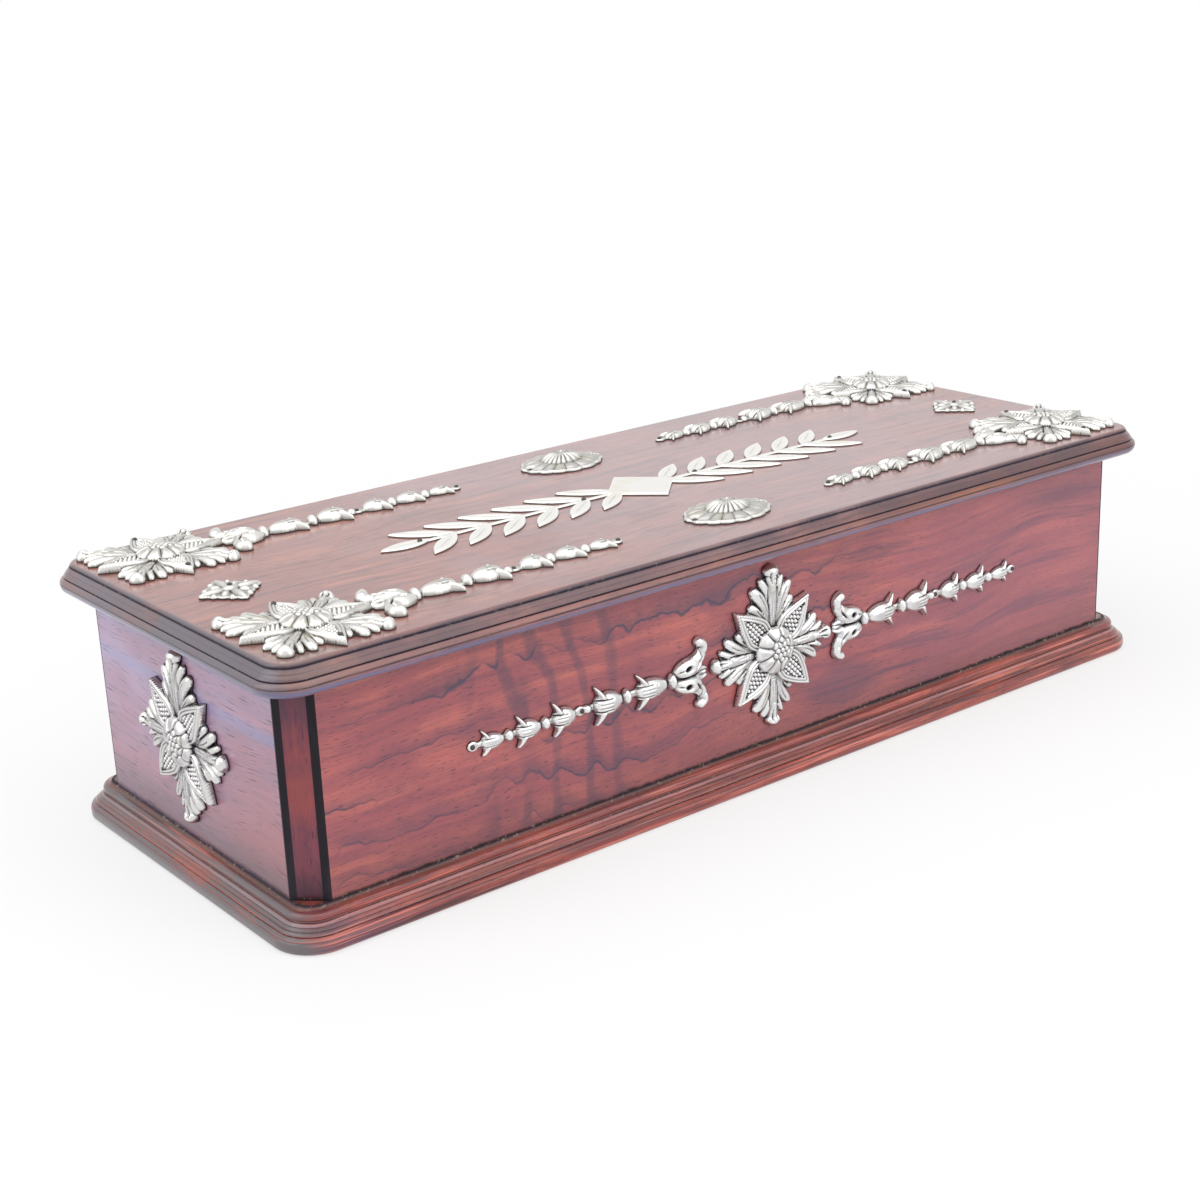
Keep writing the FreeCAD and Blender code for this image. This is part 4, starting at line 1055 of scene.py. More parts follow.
@dataclass(frozen=True)
class Several(Stamped):
    """Forms together: the highest one shows."""

    forms: tuple[Stamped, ...]

    def at(self, x: Grid, y: Grid) -> Field:
        """Measures the highest form at points."""
        inside, rise = np.full(x.shape, FAR_OUTSIDE), np.zeros(x.shape)
        for form in self.forms:
            depth, height = form.at(x, y)
            inside = np.maximum(inside, depth)
            rise = np.maximum(rise, np.where(depth > 0, height, 0.0))
        return inside, rise


@dataclass(frozen=True)
class Pitted(Stamped):
    """A form with oval hollows sunk into it: (x, y, half length, half width, degrees, depth)."""

    form: Stamped
    hollows: tuple[tuple[float, float, float, float, float, float], ...]

    def at(self, x: Grid, y: Grid) -> Field:
        """Measures the hollowed form at points."""
        inside, rise = self.form.at(x, y)
        for along, across, length, width, degrees, depth in self.hollows:
            dx, dy = turned_back(x - along, y - across, degrees)
            far = (dx / length) ** 2 + (dy / width) ** 2
            rise = rise - depth * np.exp(-far ** 1.5)
        return inside, np.maximum(rise, 0.0)


@dataclass(frozen=True)
class Scored(Stamped):
    """A form with grooves scored into it, each given as a ridge that is taken away."""

    form: Stamped
    grooves: tuple[Ridge, ...]

    def at(self, x: Grid, y: Grid) -> Field:
        """Measures the scored form at points."""
        inside, rise = self.form.at(x, y)
        for groove in self.grooves:
            rise = rise - groove.at(x, y)[1]
        return inside, np.maximum(rise, 0.0)


@dataclass
class Sheet:
    """A stamped sheet that is raised from a grid, cut along its outline and copied to its places."""

    form: Stamped
    low: Point
    high: Point
    pitch: float = 0.3
    edge: float = 0.45
    seat: float = -0.05
    outside_hollow: float = 0.32
    deepest: float = 0.7
    blurs: tuple[Point, ...] = ((1.2, 0.45), (0.45, 1.3))
    bm: Shape = field(default=None, repr=False)

    def stamp(self) -> "Sheet":
        """Raises the relief, cuts it out and closes it.

        Returns:
            The sheet itself.
        """
        columns, rows = (int(round((end - start) / self.pitch)) for start, end in zip(self.low, self.high))
        bm = bmesh.new()
        bmesh.ops.create_grid(bm, x_segments=columns, y_segments=rows, size=0.5)
        size = Matrix.Diagonal((self.high[0] - self.low[0], self.high[1] - self.low[1], 1.0, 1.0))
        middle = Vector(((self.high[0] + self.low[0]) / 2, (self.high[1] + self.low[1]) / 2, 0.0))
        bmesh.ops.transform(bm, matrix=Matrix.Translation(middle) @ size, verts=bm.verts)
        places = np.array([vert.co.xy for vert in bm.verts])
        x, y = places[:, 0], places[:, 1]
        inside, rise = self.form.at(x, y)
        height = np.where(inside > 0, self.edge + rise, 0.0)
        hollow = self.hollows(x, y, height, columns, rows)
        layer = bm.verts.layers.float.new(RECESS)
        # Points just outside the outline keep some recess, which paints a dark rim of shade round the mount
        hollow = np.where(inside > 0, hollow, np.minimum(hollow, self.outside_hollow))
        for vert, value in zip(bm.verts, hollow):
            vert[layer] = value
        bm.verts.index_update()
        outside = [face for face in bm.faces if all(inside[vert.index] <= 0 for vert in face.verts)]
        rim = [vert for vert in bm.verts if inside[vert.index] <= 0]
        for vert, value in zip(bm.verts, height):
            vert.co.z = value
        bmesh.ops.delete(bm, geom=outside, context="FACES")
        self.draw_in([vert for vert in rim if vert.is_valid])
        bmesh.ops.remove_doubles(bm, verts=bm.verts, dist=0.06 * self.pitch)
        self.close(bm)
        bmesh.ops.scale(bm, vec=(MM, MM, MM), verts=bm.verts)
        self.bm = bm
        return self

    def hollows(self, x: Grid, y: Grid, height: Grid, columns: int, rows: int) -> Grid:
        """Works out how far each point lies below its surroundings, near and wide.

        Args:
            x: the points' places along X.
            y: their places along Y.
            height: their heights.
            columns: the grid's faces along X.
            rows: its faces along Y.

        Returns:
            The depths in millimetres, below 0 on high places.
        """
        i = np.rint((x - self.low[0]) / self.pitch).astype(int).clip(0, columns)
        j = np.rint((y - self.low[1]) / self.pitch).astype(int).clip(0, rows)
        full = np.zeros((columns + 1, rows + 1))
        full[i, j] = height
        hollow = np.zeros(full.shape)
        for blur, share in self.blurs:
            reach = int(3 * blur / self.pitch)
            weights = np.exp(-0.5 * (np.arange(-reach, reach + 1) * self.pitch / blur) ** 2)
            weights /= weights.sum()
            soft = full
            for axis in (0, 1):
                soft = np.apply_along_axis(lambda row: np.convolve(row, weights, "same"), axis, soft)
            hollow += share * np.clip(soft - full, -self.deepest, self.deepest)
        return hollow[i, j]

    def draw_in(self, rim: list[bmesh.types.BMVert]) -> None:
        """Draws the vertices just outside the outline onto it.

        Args:
            rim: the vertices.
        """
        if not rim:
            return
        places = np.array([vert.co.xy for vert in rim])
        small = self.pitch / 10
        for _ in range(5):
            x, y = places[:, 0], places[:, 1]
            inside = self.form.at(x, y)[0]
            slope_x = (self.form.at(x + small, y)[0] - inside) / small
            slope_y = (self.form.at(x, y + small)[0] - inside) / small
            steep = np.maximum(slope_x ** 2 + slope_y ** 2, 0.05)
            stride = np.clip(-inside / steep, -self.pitch, self.pitch)
            places = places + np.stack([stride * slope_x, stride * slope_y], axis=1)
        for vert, place in zip(rim, places):
            vert.co = (place[0], place[1], self.edge)

    def close(self, bm: Shape) -> None:
        """Turns the edge of the sheet down to its seat and closes it underneath.

        Args:
            bm: the sheet.
        """
        border = open_edges(bm)
        for edge in border:
            edge.smooth = False
        skirt = bmesh.ops.extrude_edge_only(bm, edges=border)["geom"]
        layer = bm.verts.layers.float[RECESS]
        # The skirt gets full recess, which paints it dark: a painted contact shadow round the mount
        for vert in picked(skirt, bmesh.types.BMVert):
            vert.co.z = self.seat
            vert[layer] = 1.0
        bmesh.ops.holes_fill(bm, edges=open_edges(bm), sides=0)
        bmesh.ops.recalc_face_normals(bm, faces=bm.faces)

    def place(self, name: str, body: Body, where: Matrix, material: Material, slot: str) -> None:
        """Copies the sheet to a place, where it replaces the CAD node of the same name.

        Args:
            name: the CAD node.
            body: the body that it rides on.
            where: turn and place in metres.
            material: its finish.
            slot: the record's slot; not used.
        """
        copy = self.bm.copy()
        bmesh.ops.transform(copy, matrix=where, verts=copy.verts)
        finish_piece(copy, f"{name}.stamped", body, material, (name,))


def laid(facing: Facing, place: Triple, spin: float = 0.0) -> Matrix:
    """Gives the matrix that lays a mount on a face.

    Args:
        facing: the face.
        place: the mount's middle, in millimetres.
        spin: turn in degrees within the face.

    Returns:
        The matrix, in metres.
    """
    tilt, swing = facing.value
    turn = (Matrix.Rotation(math.radians(swing), 4, "Z") @ Matrix.Rotation(math.radians(tilt), 4, "X")
            @ Matrix.Rotation(math.radians(spin), 4, "Z"))
    return Matrix.Translation(Vector(place) * MM) @ turn


@dataclass
class Mounts:
    """The stamped silver mounts of the lid and the carcass."""

    half_length: float = 180.0
    half_width: float = 64.5
    lid_top: float = 87.5
    mount_level: float = 45.0
    rosette_x: float = 160.6
    rosette_y: float = 45.1
    front_garland_x: float = 29.8
    lid_garland_x: float = 137.2
    leaf_lengths: tuple[float, ...] = (0.95, 1.05, 0.95, 0.97)
    bells: tuple[Triple, ...] = (
        (15.9, 27.2, 5.7), (34.2, 44.0, 6.2), (52.4, 60.2, 5.4), (65.8, 73.8, 5.0), (79.4, 86.8, 4.0))
    beads: tuple[Point, ...] = ((13.4, 2.8), (32.0, 2.7), (47.4, 1.5), (63.6, 2.2), (77.3, 2.0))
    pinned_beads: tuple[float, ...] = (49.9, 90.2)
    spray_length: float = 214.0
    spray_half_width: float = 15.0
    spray_pairs: int = 6
    spray_angle: float = 38.0
    lid_rosette_share: Triple = (0.95, 0.95, 0.9)

    def leaf(self) -> Stamped:
        """Makes one rosette leaf along +X: a broad ribbed body, curled lobes and a hooded tip on a neck.

        Returns:
            The form.
        """
        forms: list[Stamped] = [
            Ridge((4.5, 0.0), (12.5, 0.0), (18.0, 0.0), (2.0, 7.4, 4.6), 2.0),
            Ridge((5.0, 0.0), (14.0, 0.0), (22.0, 0.0), (0.9, 3.4, 2.0), 2.8),
            Ridge((20.0, 0.0), (23.2, 0.0), (25.2, 0.0), (2.0, 2.0, 2.1), 2.6),
            Dome((25.8, 0.0), 2.3, 2.9, 3.2),
        ]
        grooves: list[Ridge] = []
        for side in SIDES:
            forms += [
                Ridge((8.0, side * 1.8), (13.0, side * 4.6), (15.0, side * 8.0), (1.4, 3.4, 1.6), 2.5),
                Ridge((11.5, side * 1.8), (17.6, side * 4.3), (20.3, side * 7.3), (1.3, 3.5, 1.5), 2.8),
                Ridge((16.0, side * 1.4), (21.0, side * 2.5), (23.2, side * 4.2), (1.0, 2.3, 1.0), 2.5),
            ]
            grooves += [
                Ridge((18.6, side * 9.0), (16.6, side * 6.5), (12.6, side * 4.0), (0.8, 0.5, 0.14), 2.0),
                Ridge((22.9, side * 6.6), (20.9, side * 4.3), (17.2, side * 2.8), (0.8, 0.5, 0.14), 2.0),
                Ridge((25.4, side * 4.4), (23.6, side * 2.7), (21.0, side * 1.8), (0.7, 0.4, 0.12), 1.8),
                Ridge((12.0, side * 7.6), (11.2, side * 5.4), (8.8, side * 3.2), (0.7, 0.4, 0.12), 1.5),
                Ridge((20.0, side * 2.1), (14.0, side * 1.7), (7.0, side * 0.8), (0.4, 0.36, 0.2), 1.0),
                Ridge((14.2, side * 6.6), (12.4, side * 4.6), (9.6, side * 2.7), (0.26, 0.28, 0.14), 0.6),
                Ridge((19.3, side * 5.7), (16.8, side * 3.9), (13.4, side * 2.6), (0.26, 0.28, 0.14), 0.6),
                Ridge((25.4, side * 1.1), (24.0, side * 0.8), (21.6, side * 0.6), (0.42, 0.34, 0.12), 1.1),
                Ridge((16.5, side * 0.7), (12.0, side * 0.6), (7.5, side * 0.2), (0.16, 0.3, 0.16), 0.5),
            ]
        return Scored(Several(tuple(forms)), tuple(grooves))

    def rosette(self) -> Sheet:
        """Makes the rosette: four leaves, four petals between them and a scaly boss.

        Returns:
            The sheet.
        """
        leaf, petal = self.leaf(), RimmedPetal()
        forms: list[Stamped] = [ScaleBoss()]
        for index, length in enumerate(self.leaf_lengths):
            forms += [Moved(leaf, index * QUARTER, size=length), Moved(petal, (index + 0.5) * QUARTER)]
        return Sheet(Several(tuple(forms)), (-28.5, -28.5), (28.5, 30.0), 0.3).stamp()

    def bell(self, neck: float, mouth: float, lip: float) -> Stamped:
        """Makes one plump bell flower with a middle lobe, two flared lips and fine flutes.

        Args:
            neck: where it begins along X.
            mouth: where it ends.
            lip: half the width of its mouth.

        Returns:
            The form.
        """
        length, belly, relief = mouth - neck, 0.6 * lip, 0.6 * lip
        forms: list[Stamped] = [
            Ridge((neck + 0.62 * belly, 0.0), (neck + 0.5 * length, 0.0), (mouth - 0.7 * belly, 0.0),
                  (0.74 * belly, 1.25 * belly, 0.98 * belly), relief),
            Ridge((mouth - 0.5 * length, 0.0), (mouth - 0.2 * length, 0.0), (mouth - 0.02 * length, 0.0),
                  (0.5 * belly, 0.55 * belly, 0.3 * belly), 0.95 * relief)]
        grooves = []
        for side in SIDES:
            forms.append(Ridge(
                (mouth - 0.22 * length, side * 0.66 * belly), (mouth - 0.12 * length, side * 1.16 * belly),
                (mouth + 0.03 * length, side * lip), (0.34 * belly, 0.27 * belly, 0.09 * belly),
                0.8 * relief))
            grooves += [
                Ridge((mouth + 0.02 * length, side * 0.5 * belly),
                      (mouth - 0.22 * length, side * 0.56 * belly),
                      (neck + 0.42 * length, side * 0.46 * belly), (0.32, 0.24, 0.1), 0.34 * relief),
                Ridge((mouth - 0.06 * length, side * 0.16 * belly),
                      (mouth - 0.3 * length, side * 0.2 * belly),
                      (neck + 0.5 * length, side * 0.16 * belly), (0.2, 0.2, 0.1), 0.14 * relief),
            ]
        return Scored(Several(tuple(forms)), tuple(grooves))

    def garland(self) -> Sheet:
        """Makes the garland: a horned collar, then bells that shrink towards its end.

        Returns:
            The sheet.
        """
        forms: list[Stamped] = [Ridge((6.0, 0.0), (50.0, 0.0), (91.0, 0.0), (1.25, 1.1, 0.9), 0.7, 170)]
        forms += [self.bell(*sizes) for sizes in self.bells]
        forms += [Dome((along, 0.0), 1.6, half, 1.0 * half) for along, half in self.beads]
        forms += [Dome((along, 0.0), 1.9, 1.6, 0.6, fullness=0.2) for along in self.pinned_beads]
        collar: list[Stamped] = [Ridge((3.4, 0.0), (1.6, 0.0), (-0.6, 0.0), (0.9, 0.7, 0.6), 1.5)]
        hollows = [(6.5, 0.0, 4.6, 0.4, 0.0, 1.7)]
        for side in SIDES:
            collar += [
                Dome((6.5, side * 3.0), 5.9, 3.25, 3.1, side * -8.0, 0.42),
                Ridge((5.6, side * 4.2), (1.2, side * 4.4), (0.4, side * 8.4), (2.2, 2.8, 1.6), 2.6),
                Ridge((0.4, side * 7.8), (-0.5, side * 9.8), (1.9, side * 10.6), (1.6, 1.7, 1.8), 2.6),
                Ridge((3.0, side * 1.3), (1.2, side * 2.0), (-0.8, side * 1.2), (1.1, 1.0, 0.6), 1.7),
            ]
            hollows += [
                (7.3, side * 3.1, 1.2, 0.75, side * -10.0, 3.4),
                (2.9, side * 4.0, 1.9, 0.36, side * -50.0, 1.2),
                (1.9, side * 6.9, 1.6, 0.26, side * 80.0, 0.6),
                (10.2, side * 2.6, 1.2, 0.3, side * -14.0, 0.8)]
        forms.append(Pitted(Several(tuple(collar)), tuple(hollows)))
        return Sheet(Several(tuple(forms)), (-2.7, -13.8), (93.9, 13.8), 0.3).stamp()

    def patera(self) -> Sheet:
        """Makes the oval patera."""
        form = Pitted(Several((FlutedOval(), Dome((0.0, 0.0), 2.2, 1.5, 5.0))),
                      ((14.36, 0.0, 1.2, 1.2, 0.0, 1.2), (-14.36, 0.0, 1.2, 1.2, 0.0, 1.2)))
        return Sheet(form, (-18.2, -14.0), (18.2, 14.0), 0.28).stamp()

    def lozenge(self) -> Sheet:
        """Makes the lozenge: a flower of four petals on a four-cornered plate.

        Returns:
            The sheet.
        """
        petal = Ridge((2.2, 0.0), (5.4, 0.0), (9.6, 0.0), (1.0, 2.1, 0.6), 1.9)
        forms: list[Stamped] = [Lozenge(), Dome((0.0, 0.0), 2.6, 2.6, 2.0, fullness=0.25)]
        for index in range(4):
            forms.append(Moved(petal, index * QUARTER))
            forms.append(Moved(Dome((4.6, 0.0), 2.1, 1.35, 1.4), (index + 0.5) * QUARTER))
            for side in SIDES:
                forms.append(Moved(Dome((7.0, side * 2.9), 1.1, 0.9, 1.1, side * 40.0), index * QUARTER))
        return Sheet(Several(tuple(forms)), (-11.8, -11.8), (11.8, 11.8), 0.25).stamp()

    def spray(self) -> Sheet:
        """Makes the flat spray of leaves in the middle of the lid.

        Returns:
            The sheet.
        """
        length, half_width = self.spray_length, self.spray_half_width
        leaf = FlatLeaf(length * 0.0525, half_width * 0.2)
        tip = FlatLeaf(length * 0.045, half_width * 0.2)
        stem = Ridge((-length * 0.46, 0.0), (0.0, 0.0), (length * 0.46, 0.0), (1.0, 1.1, 1.0), 0.4, 220)
        middle = Lozenge(half_width, 0.6, 0.0)
        forms: list[Stamped] = [stem, middle]
        for end in SIDES:
            forms.append(Moved(tip, 0.0, (end * length * 0.455, 0.0)))
            for pair in range(self.spray_pairs):
                along = end * length * (0.085 + 0.064 * pair)
                for side in SIDES:
                    place = (along, side * half_width * 0.46)
                    forms.append(Moved(leaf, end * side * self.spray_angle, place))
        return Sheet(Several(tuple(forms)), (-107.6, -15.6), (107.6, 15.6), 0.35, 0.4).stamp()

    def build(self, finishes: Finishes) -> None:
        """Stamps each sheet once and copies it to its places.

        Args:
            finishes: every finish of the box.
        """
        silver, top, flat = finishes["silver"], finishes["silver_lid_shaded"], finishes["flat_silver"]
        smaller = Matrix.Diagonal((*self.lid_rosette_share, 1.0))
        rosette, garland, patera, lozenge = self.rosette(), self.garland(), self.patera(), self.lozenge()
        level, front = self.mount_level, -self.half_width
        rosette.place("front_rosette", Body.BOX, laid(Facing.FRONT, (0.0, front, level)), silver, "silver")
        for side, name, facing in zip(SIDES, ("left", "right"), (Facing.LEFT, Facing.RIGHT)):
            where = laid(facing, (side * self.half_length, 0.0, level))
            rosette.place(f"{name}_end_rosette", Body.BOX, where, finishes["silver_end_shaded"], "silver")
            where = laid(Facing.FRONT, (side * self.front_garland_x, front, level), HALF if side < 0 else 0.0)
            garland.place(f"front_garland_{name}", Body.BOX, where, silver, "silver")
            where = laid(Facing.TOP, (side * self.rosette_x, 0.0, self.lid_top))
            lozenge.place(f"lid_lozenge_{name}", Body.LID, where, top, "silver")
        for across, row in zip(SIDES, ("front", "back")):
            y = across * self.rosette_y
            where = laid(Facing.TOP, (0.0, y, self.lid_top))
            patera.place(f"lid_patera_{row}", Body.LID, where, top, "silver")
            for side, name in zip(SIDES, ("left", "right")):
                where = laid(Facing.TOP, (side * self.rosette_x, y, self.lid_top), QUARTER / 2)
                rosette.place(f"lid_rosette_{row}_{name}", Body.LID, where @ smaller, top, "silver")
                spin = 0.0 if side < 0 else HALF
                where = laid(Facing.TOP, (side * self.lid_garland_x, y, self.lid_top), spin)
                garland.place(f"lid_garland_{row}_{name}", Body.LID, where, top, "silver")
        where = laid(Facing.TOP, (0.0, 0.0, self.lid_top))
        self.spray().place("lid_spray", Body.LID, where, flat, "flat_silver")
        for body in (Body.LID, Body.BOX):
            smooth_copy(f"{body.value}_mount_pins", body, finishes["pin_steel"])


# Moulded boards


@dataclass
class MouldedBoard:
    """A board with a moulding run round its edge; each profile point is (overhang, level, grime and painted
    shade, below 0 a painted sheen).
    """

    node: str
    body: Body
    finish: str
    radius: float
    profile: tuple[Triple, ...]
    half_length: float = 180.0
    half_width: float = 64.5
    corner_steps: int = 14
    corner_reach: float = 10.0

    def run(self) -> Shape:
        """Runs the profile round the wall line and closes the board above and below.

        Returns:
            The board, in millimetres.
        """
        bm = bmesh.new()
        grime_and_shade, girth = bm.verts.layers.float.new(RECESS), bm.verts.layers.float.new(GIRTH)
        near_x, near_y = self.half_length - self.radius, self.half_width - self.radius
        lap = -self.radius / 2
        points = [(lap, self.profile[0][1], 0.0), *self.profile, (lap, self.profile[-1][1], 0.0)]
        verts = []
        for index, (out, level, dirt_and_shade) in enumerate(points):
            vert = bm.verts.new((self.half_length + out, -near_y, level))
            # The recess value: dirt and painted shade, below 0 a painted sheen
            vert[grime_and_shade] = dirt_and_shade
            last = points[max(index - 1, 0)]
            vert[girth] = math.hypot(out - last[0], level - last[1]) + (verts[-1][girth] if verts else 0.0)
            verts.append(vert)
        edges = [bm.edges.new(pair) for pair in zip(verts, verts[1:])]
        runs = (((0.0, 1.0), near_y, (1, 1)), ((-1.0, 0.0), near_x, (-1, 1)),
                ((0.0, -1.0), near_y, (-1, -1)), ((1.0, 0.0), near_x, (1, -1)))
        for (step_x, step_y), half, corner in runs:
            geometry = bmesh.ops.extrude_edge_only(bm, edges=edges)["geom"]
            verts = picked(geometry, bmesh.types.BMVert)
            edges = picked(geometry, bmesh.types.BMEdge)
            edges = [edge for edge in edges if all(vert in verts for vert in edge.verts)]
            bmesh.ops.translate(bm, verts=verts, vec=(2 * half * step_x, 2 * half * step_y, 0.0))
            centre = (corner[0] * near_x, corner[1] * near_y, 0.0)
            last = bmesh.ops.spin(bm, geom=verts + edges, cent=centre, axis=(0.0, 0.0, 1.0),
                                  angle=math.radians(QUARTER), steps=self.corner_steps)["geom_last"]
            edges = picked(last, bmesh.types.BMEdge)
        bmesh.ops.remove_doubles(bm, verts=bm.verts, dist=0.01)
        bmesh.ops.holes_fill(bm, edges=open_edges(bm), sides=0)
        bmesh.ops.recalc_face_normals(bm, faces=bm.faces)
        return bm

    def build(self, finishes: Finishes) -> None:
        """Makes the board's piece.

        Args:
            finishes: every finish of the box.
        """
        bm = self.run()
        self.cut(bm)
        self.unroll(bm)
        bmesh.ops.scale(bm, vec=(MM, MM, MM), verts=bm.verts)
        material = finishes[self.finish]
        finish_piece(bm, f"{self.node}.moulded", self.body, material, (self.node,), 30.0)

    def cut(self, bm: Shape) -> None:
        """Cuts what is let into the board; a plain board has nothing."""

    def unroll(self, bm: Shape) -> None:
        """Writes where each face corner lies along and across the moulding, or on the flat, to a UV map.

        Args:
            bm: the board, in millimetres.
        """
        bm.normal_update()
        layer, girth = bm.loops.layers.uv.new(RUN), bm.verts.layers.float[GIRTH]
        for face in bm.faces:
            flat, middle = abs(face.normal.z) > 0.9999, face.calc_center_median()
            for loop in face.loops:
                place = loop.vert.co
                along = place.x if flat else self.along(place, middle)
                across = place.y + self.half_length if flat else loop.vert[girth]
                loop[layer].uv = (along * MM, across * MM)

    def along(self, place: Vector, middle: Vector) -> float:
        """Measures along the moulding from the middle of the front.

        Args:
            place: the point.
            middle: the middle of its face, which tells the run or corner that it lies on.

        Returns:
            The distance in millimetres, below 0 to the left.
        """
        near_x, near_y = self.half_length - self.radius, self.half_width - self.radius
        corner = self.corner_reach * math.radians(QUARTER)
        side = 1 if middle.x > 0 else -1
        if abs(middle.x) < near_x:
            return place.x if middle.y < 0 else place.x + 4 * self.half_length
        if middle.y < -near_y:
            turn = math.atan2(side * place.x - near_x, -place.y - near_y)
            return side * (near_x + self.corner_reach * turn)
        if middle.y < near_y:
            return side * (near_x + corner + near_y + place.y)
        turn = math.atan2(place.y - near_y, side * place.x - near_x)
        return side * (near_x + corner + 2 * near_y + self.corner_reach * turn)


def arc(centre: Point, radius: float, start: float, end: float, steps: int,
        grime_and_shade: Point = (0.0, 0.0)) -> list[Triple]:
    """Gives the points of a round part of a profile.

    Args:
        centre: overhang and level of the centre.
        radius: its radius.
        start: first angle in degrees from outwards.
        end: last angle.
        steps: number of parts.
        grime_and_shade: dirt and painted shade at the first and last point.

    Returns:
        The points, with their dirt and painted shade.
    """
    points = []
    for index in range(steps + 1):
        share = index / steps
        angle = math.radians(start + (end - start) * share)
        dirt_and_shade = grime_and_shade[0] * max(0.0, 1 - 4 * share) + grime_and_shade[1] * max(0.0, 4 * share - 3)
        points.append((centre[0] + radius * math.cos(angle), centre[1] + radius * math.sin(angle), dirt_and_shade))
    return points


@dataclass
class LidBoard(MouldedBoard):
    """The lid board, with beds for the hinge leaves and barrels in its underside."""

    hinge_offset: float = 112.0
    hinge_length: float = 36.0
    bed: Triple = (58.0, 63.4, 68.4)
    leaf_depth: float = 1.1
    barrel_depth: float = 2.4

    def cut(self, bm: Shape) -> None:
        """Sinks the hinge beds into the underside.

        Args:
            bm: the board, in millimetres.
        """
        bottom = min(vert.co.z for vert in bm.verts)
        half = self.hinge_length / 2
        ends = [side * self.hinge_offset + end * half for side in SIDES for end in SIDES]
        cuts = [((end, 0.0, 0.0), (1.0, 0.0, 0.0)) for end in ends]
        cuts += [((0.0, level, 0.0), (0.0, 1.0, 0.0)) for level in self.bed]
        for place, normal in cuts:
            under = [face for face in bm.faces if self.is_under(face, bottom)]
            geometry = under + list({edge for face in under for edge in face.edges})
            geometry += list({vert for face in under for vert in face.verts})
            bmesh.ops.bisect_plane(bm, geom=geometry, plane_co=place, plane_no=normal)
        for low, high, depth in zip(self.bed, self.bed[1:], (self.leaf_depth, self.barrel_depth)):
            beds = []
            for face in bm.faces:
                middle = face.calc_center_median()
                on_hinge = abs(abs(middle.x) - self.hinge_offset) < half
                if self.is_under(face, bottom) and on_hinge and low < middle.y < high:
                    beds.append(face)
            sunk = bmesh.ops.extrude_face_region(bm, geom=beds)["geom"]
            bmesh.ops.delete(bm, geom=beds, context="FACES")
            bmesh.ops.translate(bm, verts=picked(sunk, bmesh.types.BMVert), vec=(0.0, 0.0, depth))
        bmesh.ops.recalc_face_normals(bm, faces=bm.faces)

    @staticmethod
    def is_under(face: bmesh.types.BMFace, bottom: float) -> bool:
        """Tells whether a face lies in the underside."""
        return all(abs(vert.co.z - bottom) < 1e-3 for vert in face.verts)


def lid_board() -> LidBoard:
    """Sets out the lid board: a bullnose, a broad sloped band between quirks and a raised field.

    Returns:
        The board.
    """
    bottom = 78.2
    # Third values: dirt and painted shade in the quirks, a painted dark reflection along the middle of the
    # nose and a painted pale reflection under it
    strip, strip_sheen = 2.9, -0.8
    painted_dark_line = (0.85, 0.7, 0.25)
    profile = [(3.0, 0.0, 0.2)]
    for out, level, _ in arc((5.4, 2.6), 2.6, -QUARTER, 0.0, 12):
        profile.append((out, level, strip_sheen * math.sin(math.pi * level / strip)))
    for index, (out, level, _) in enumerate(arc((6.3, 3.0), 1.7, 0.0, 72.0, 8)):
        profile.append((out, level, painted_dark_line[index] if index < len(painted_dark_line) else 0.06 + 0.02 * index))
    profile += [(6.58, 4.68, 0.85), (6.42, 4.76, 1.0), (6.4, 4.9, 1.0), (6.62, 5.02, 0.9), (6.6, 5.24, 0.6),
                (6.2, 5.85, 0.45), (5.72, 6.52, 0.5), (5.6, 6.6, 0.75), (5.54, 6.74, 0.5), (5.05, 7.35, 0.45),
                (4.66, 7.76, 0.6), (4.3, 7.94, 0.9), (4.2, 8.1, 1.0), (4.34, 8.26, 0.95), (4.28, 8.55, 0.8),
                (3.95, 9.02, 0.55), (3.5, 9.26, 0.3), (3.0, 9.3, 0.1), (2.4, 9.3, 0.0)]
    profile = [(out, bottom + level, dirt_and_shade) for out, level, dirt_and_shade in profile]
    return LidBoard("lid_board", Body.LID, "rosewood_lid", 4.0, tuple(profile))


def plinth_board() -> MouldedBoard:
    """Sets out the plinth board: a rounded toe, a slope with two fine grooves and a bead at the wall.

    Returns:
        The board.
    """
    # Third values: dirt and painted shade in the grooves and at the wall, and below 0 a painted pale band on
    # the slope
    toe, toe_radius = (5.6, 2.7), 2.4
    profile = [(5.6, 0.0, 0.3), *arc((6.4, 1.6), 1.6, -QUARTER, 0.0, 6, (0.4, 0.0)),
               *arc(toe, toe_radius, 0.0, 32.0, 4), (7.5, 4.14, 0.75), (7.52, 4.3, 0.4),
               *arc(toe, toe_radius, 46.0, 74.0, 4, (0.2, 0.4)), (6.05, 5.1, 0.85), (6.0, 5.24, 0.9),
               (6.2, 5.38, 0.5), (5.8, 5.9, 0.1), (5.42, 6.22, 0.2), (5.24, 6.28, 0.8), (5.2, 6.44, 0.4),
               (4.75, 6.84, 0.1),
               (4.36, 7.18, 0.2), (4.18, 7.24, 0.8), (4.14, 7.4, -0.3), (3.6, 7.86, -0.5), (3.16, 8.1, 0.8),
               (3.08, 8.26, 0.9), (3.2, 8.42, 0.5), *arc((1.9, 9.5), 1.35, -40.0, QUARTER, 9, (0.35, 0.35)),
               (1.3, 11.0, 0.5), (0.7, 11.4, 0.65), (0.25, 11.8, 0.85), (0.0, 12.0, 1.0)]
    return MouldedBoard("base_board", Body.BOX, "rosewood_plinth", 6.0, tuple(profile))


# Carcass, hinges, linings


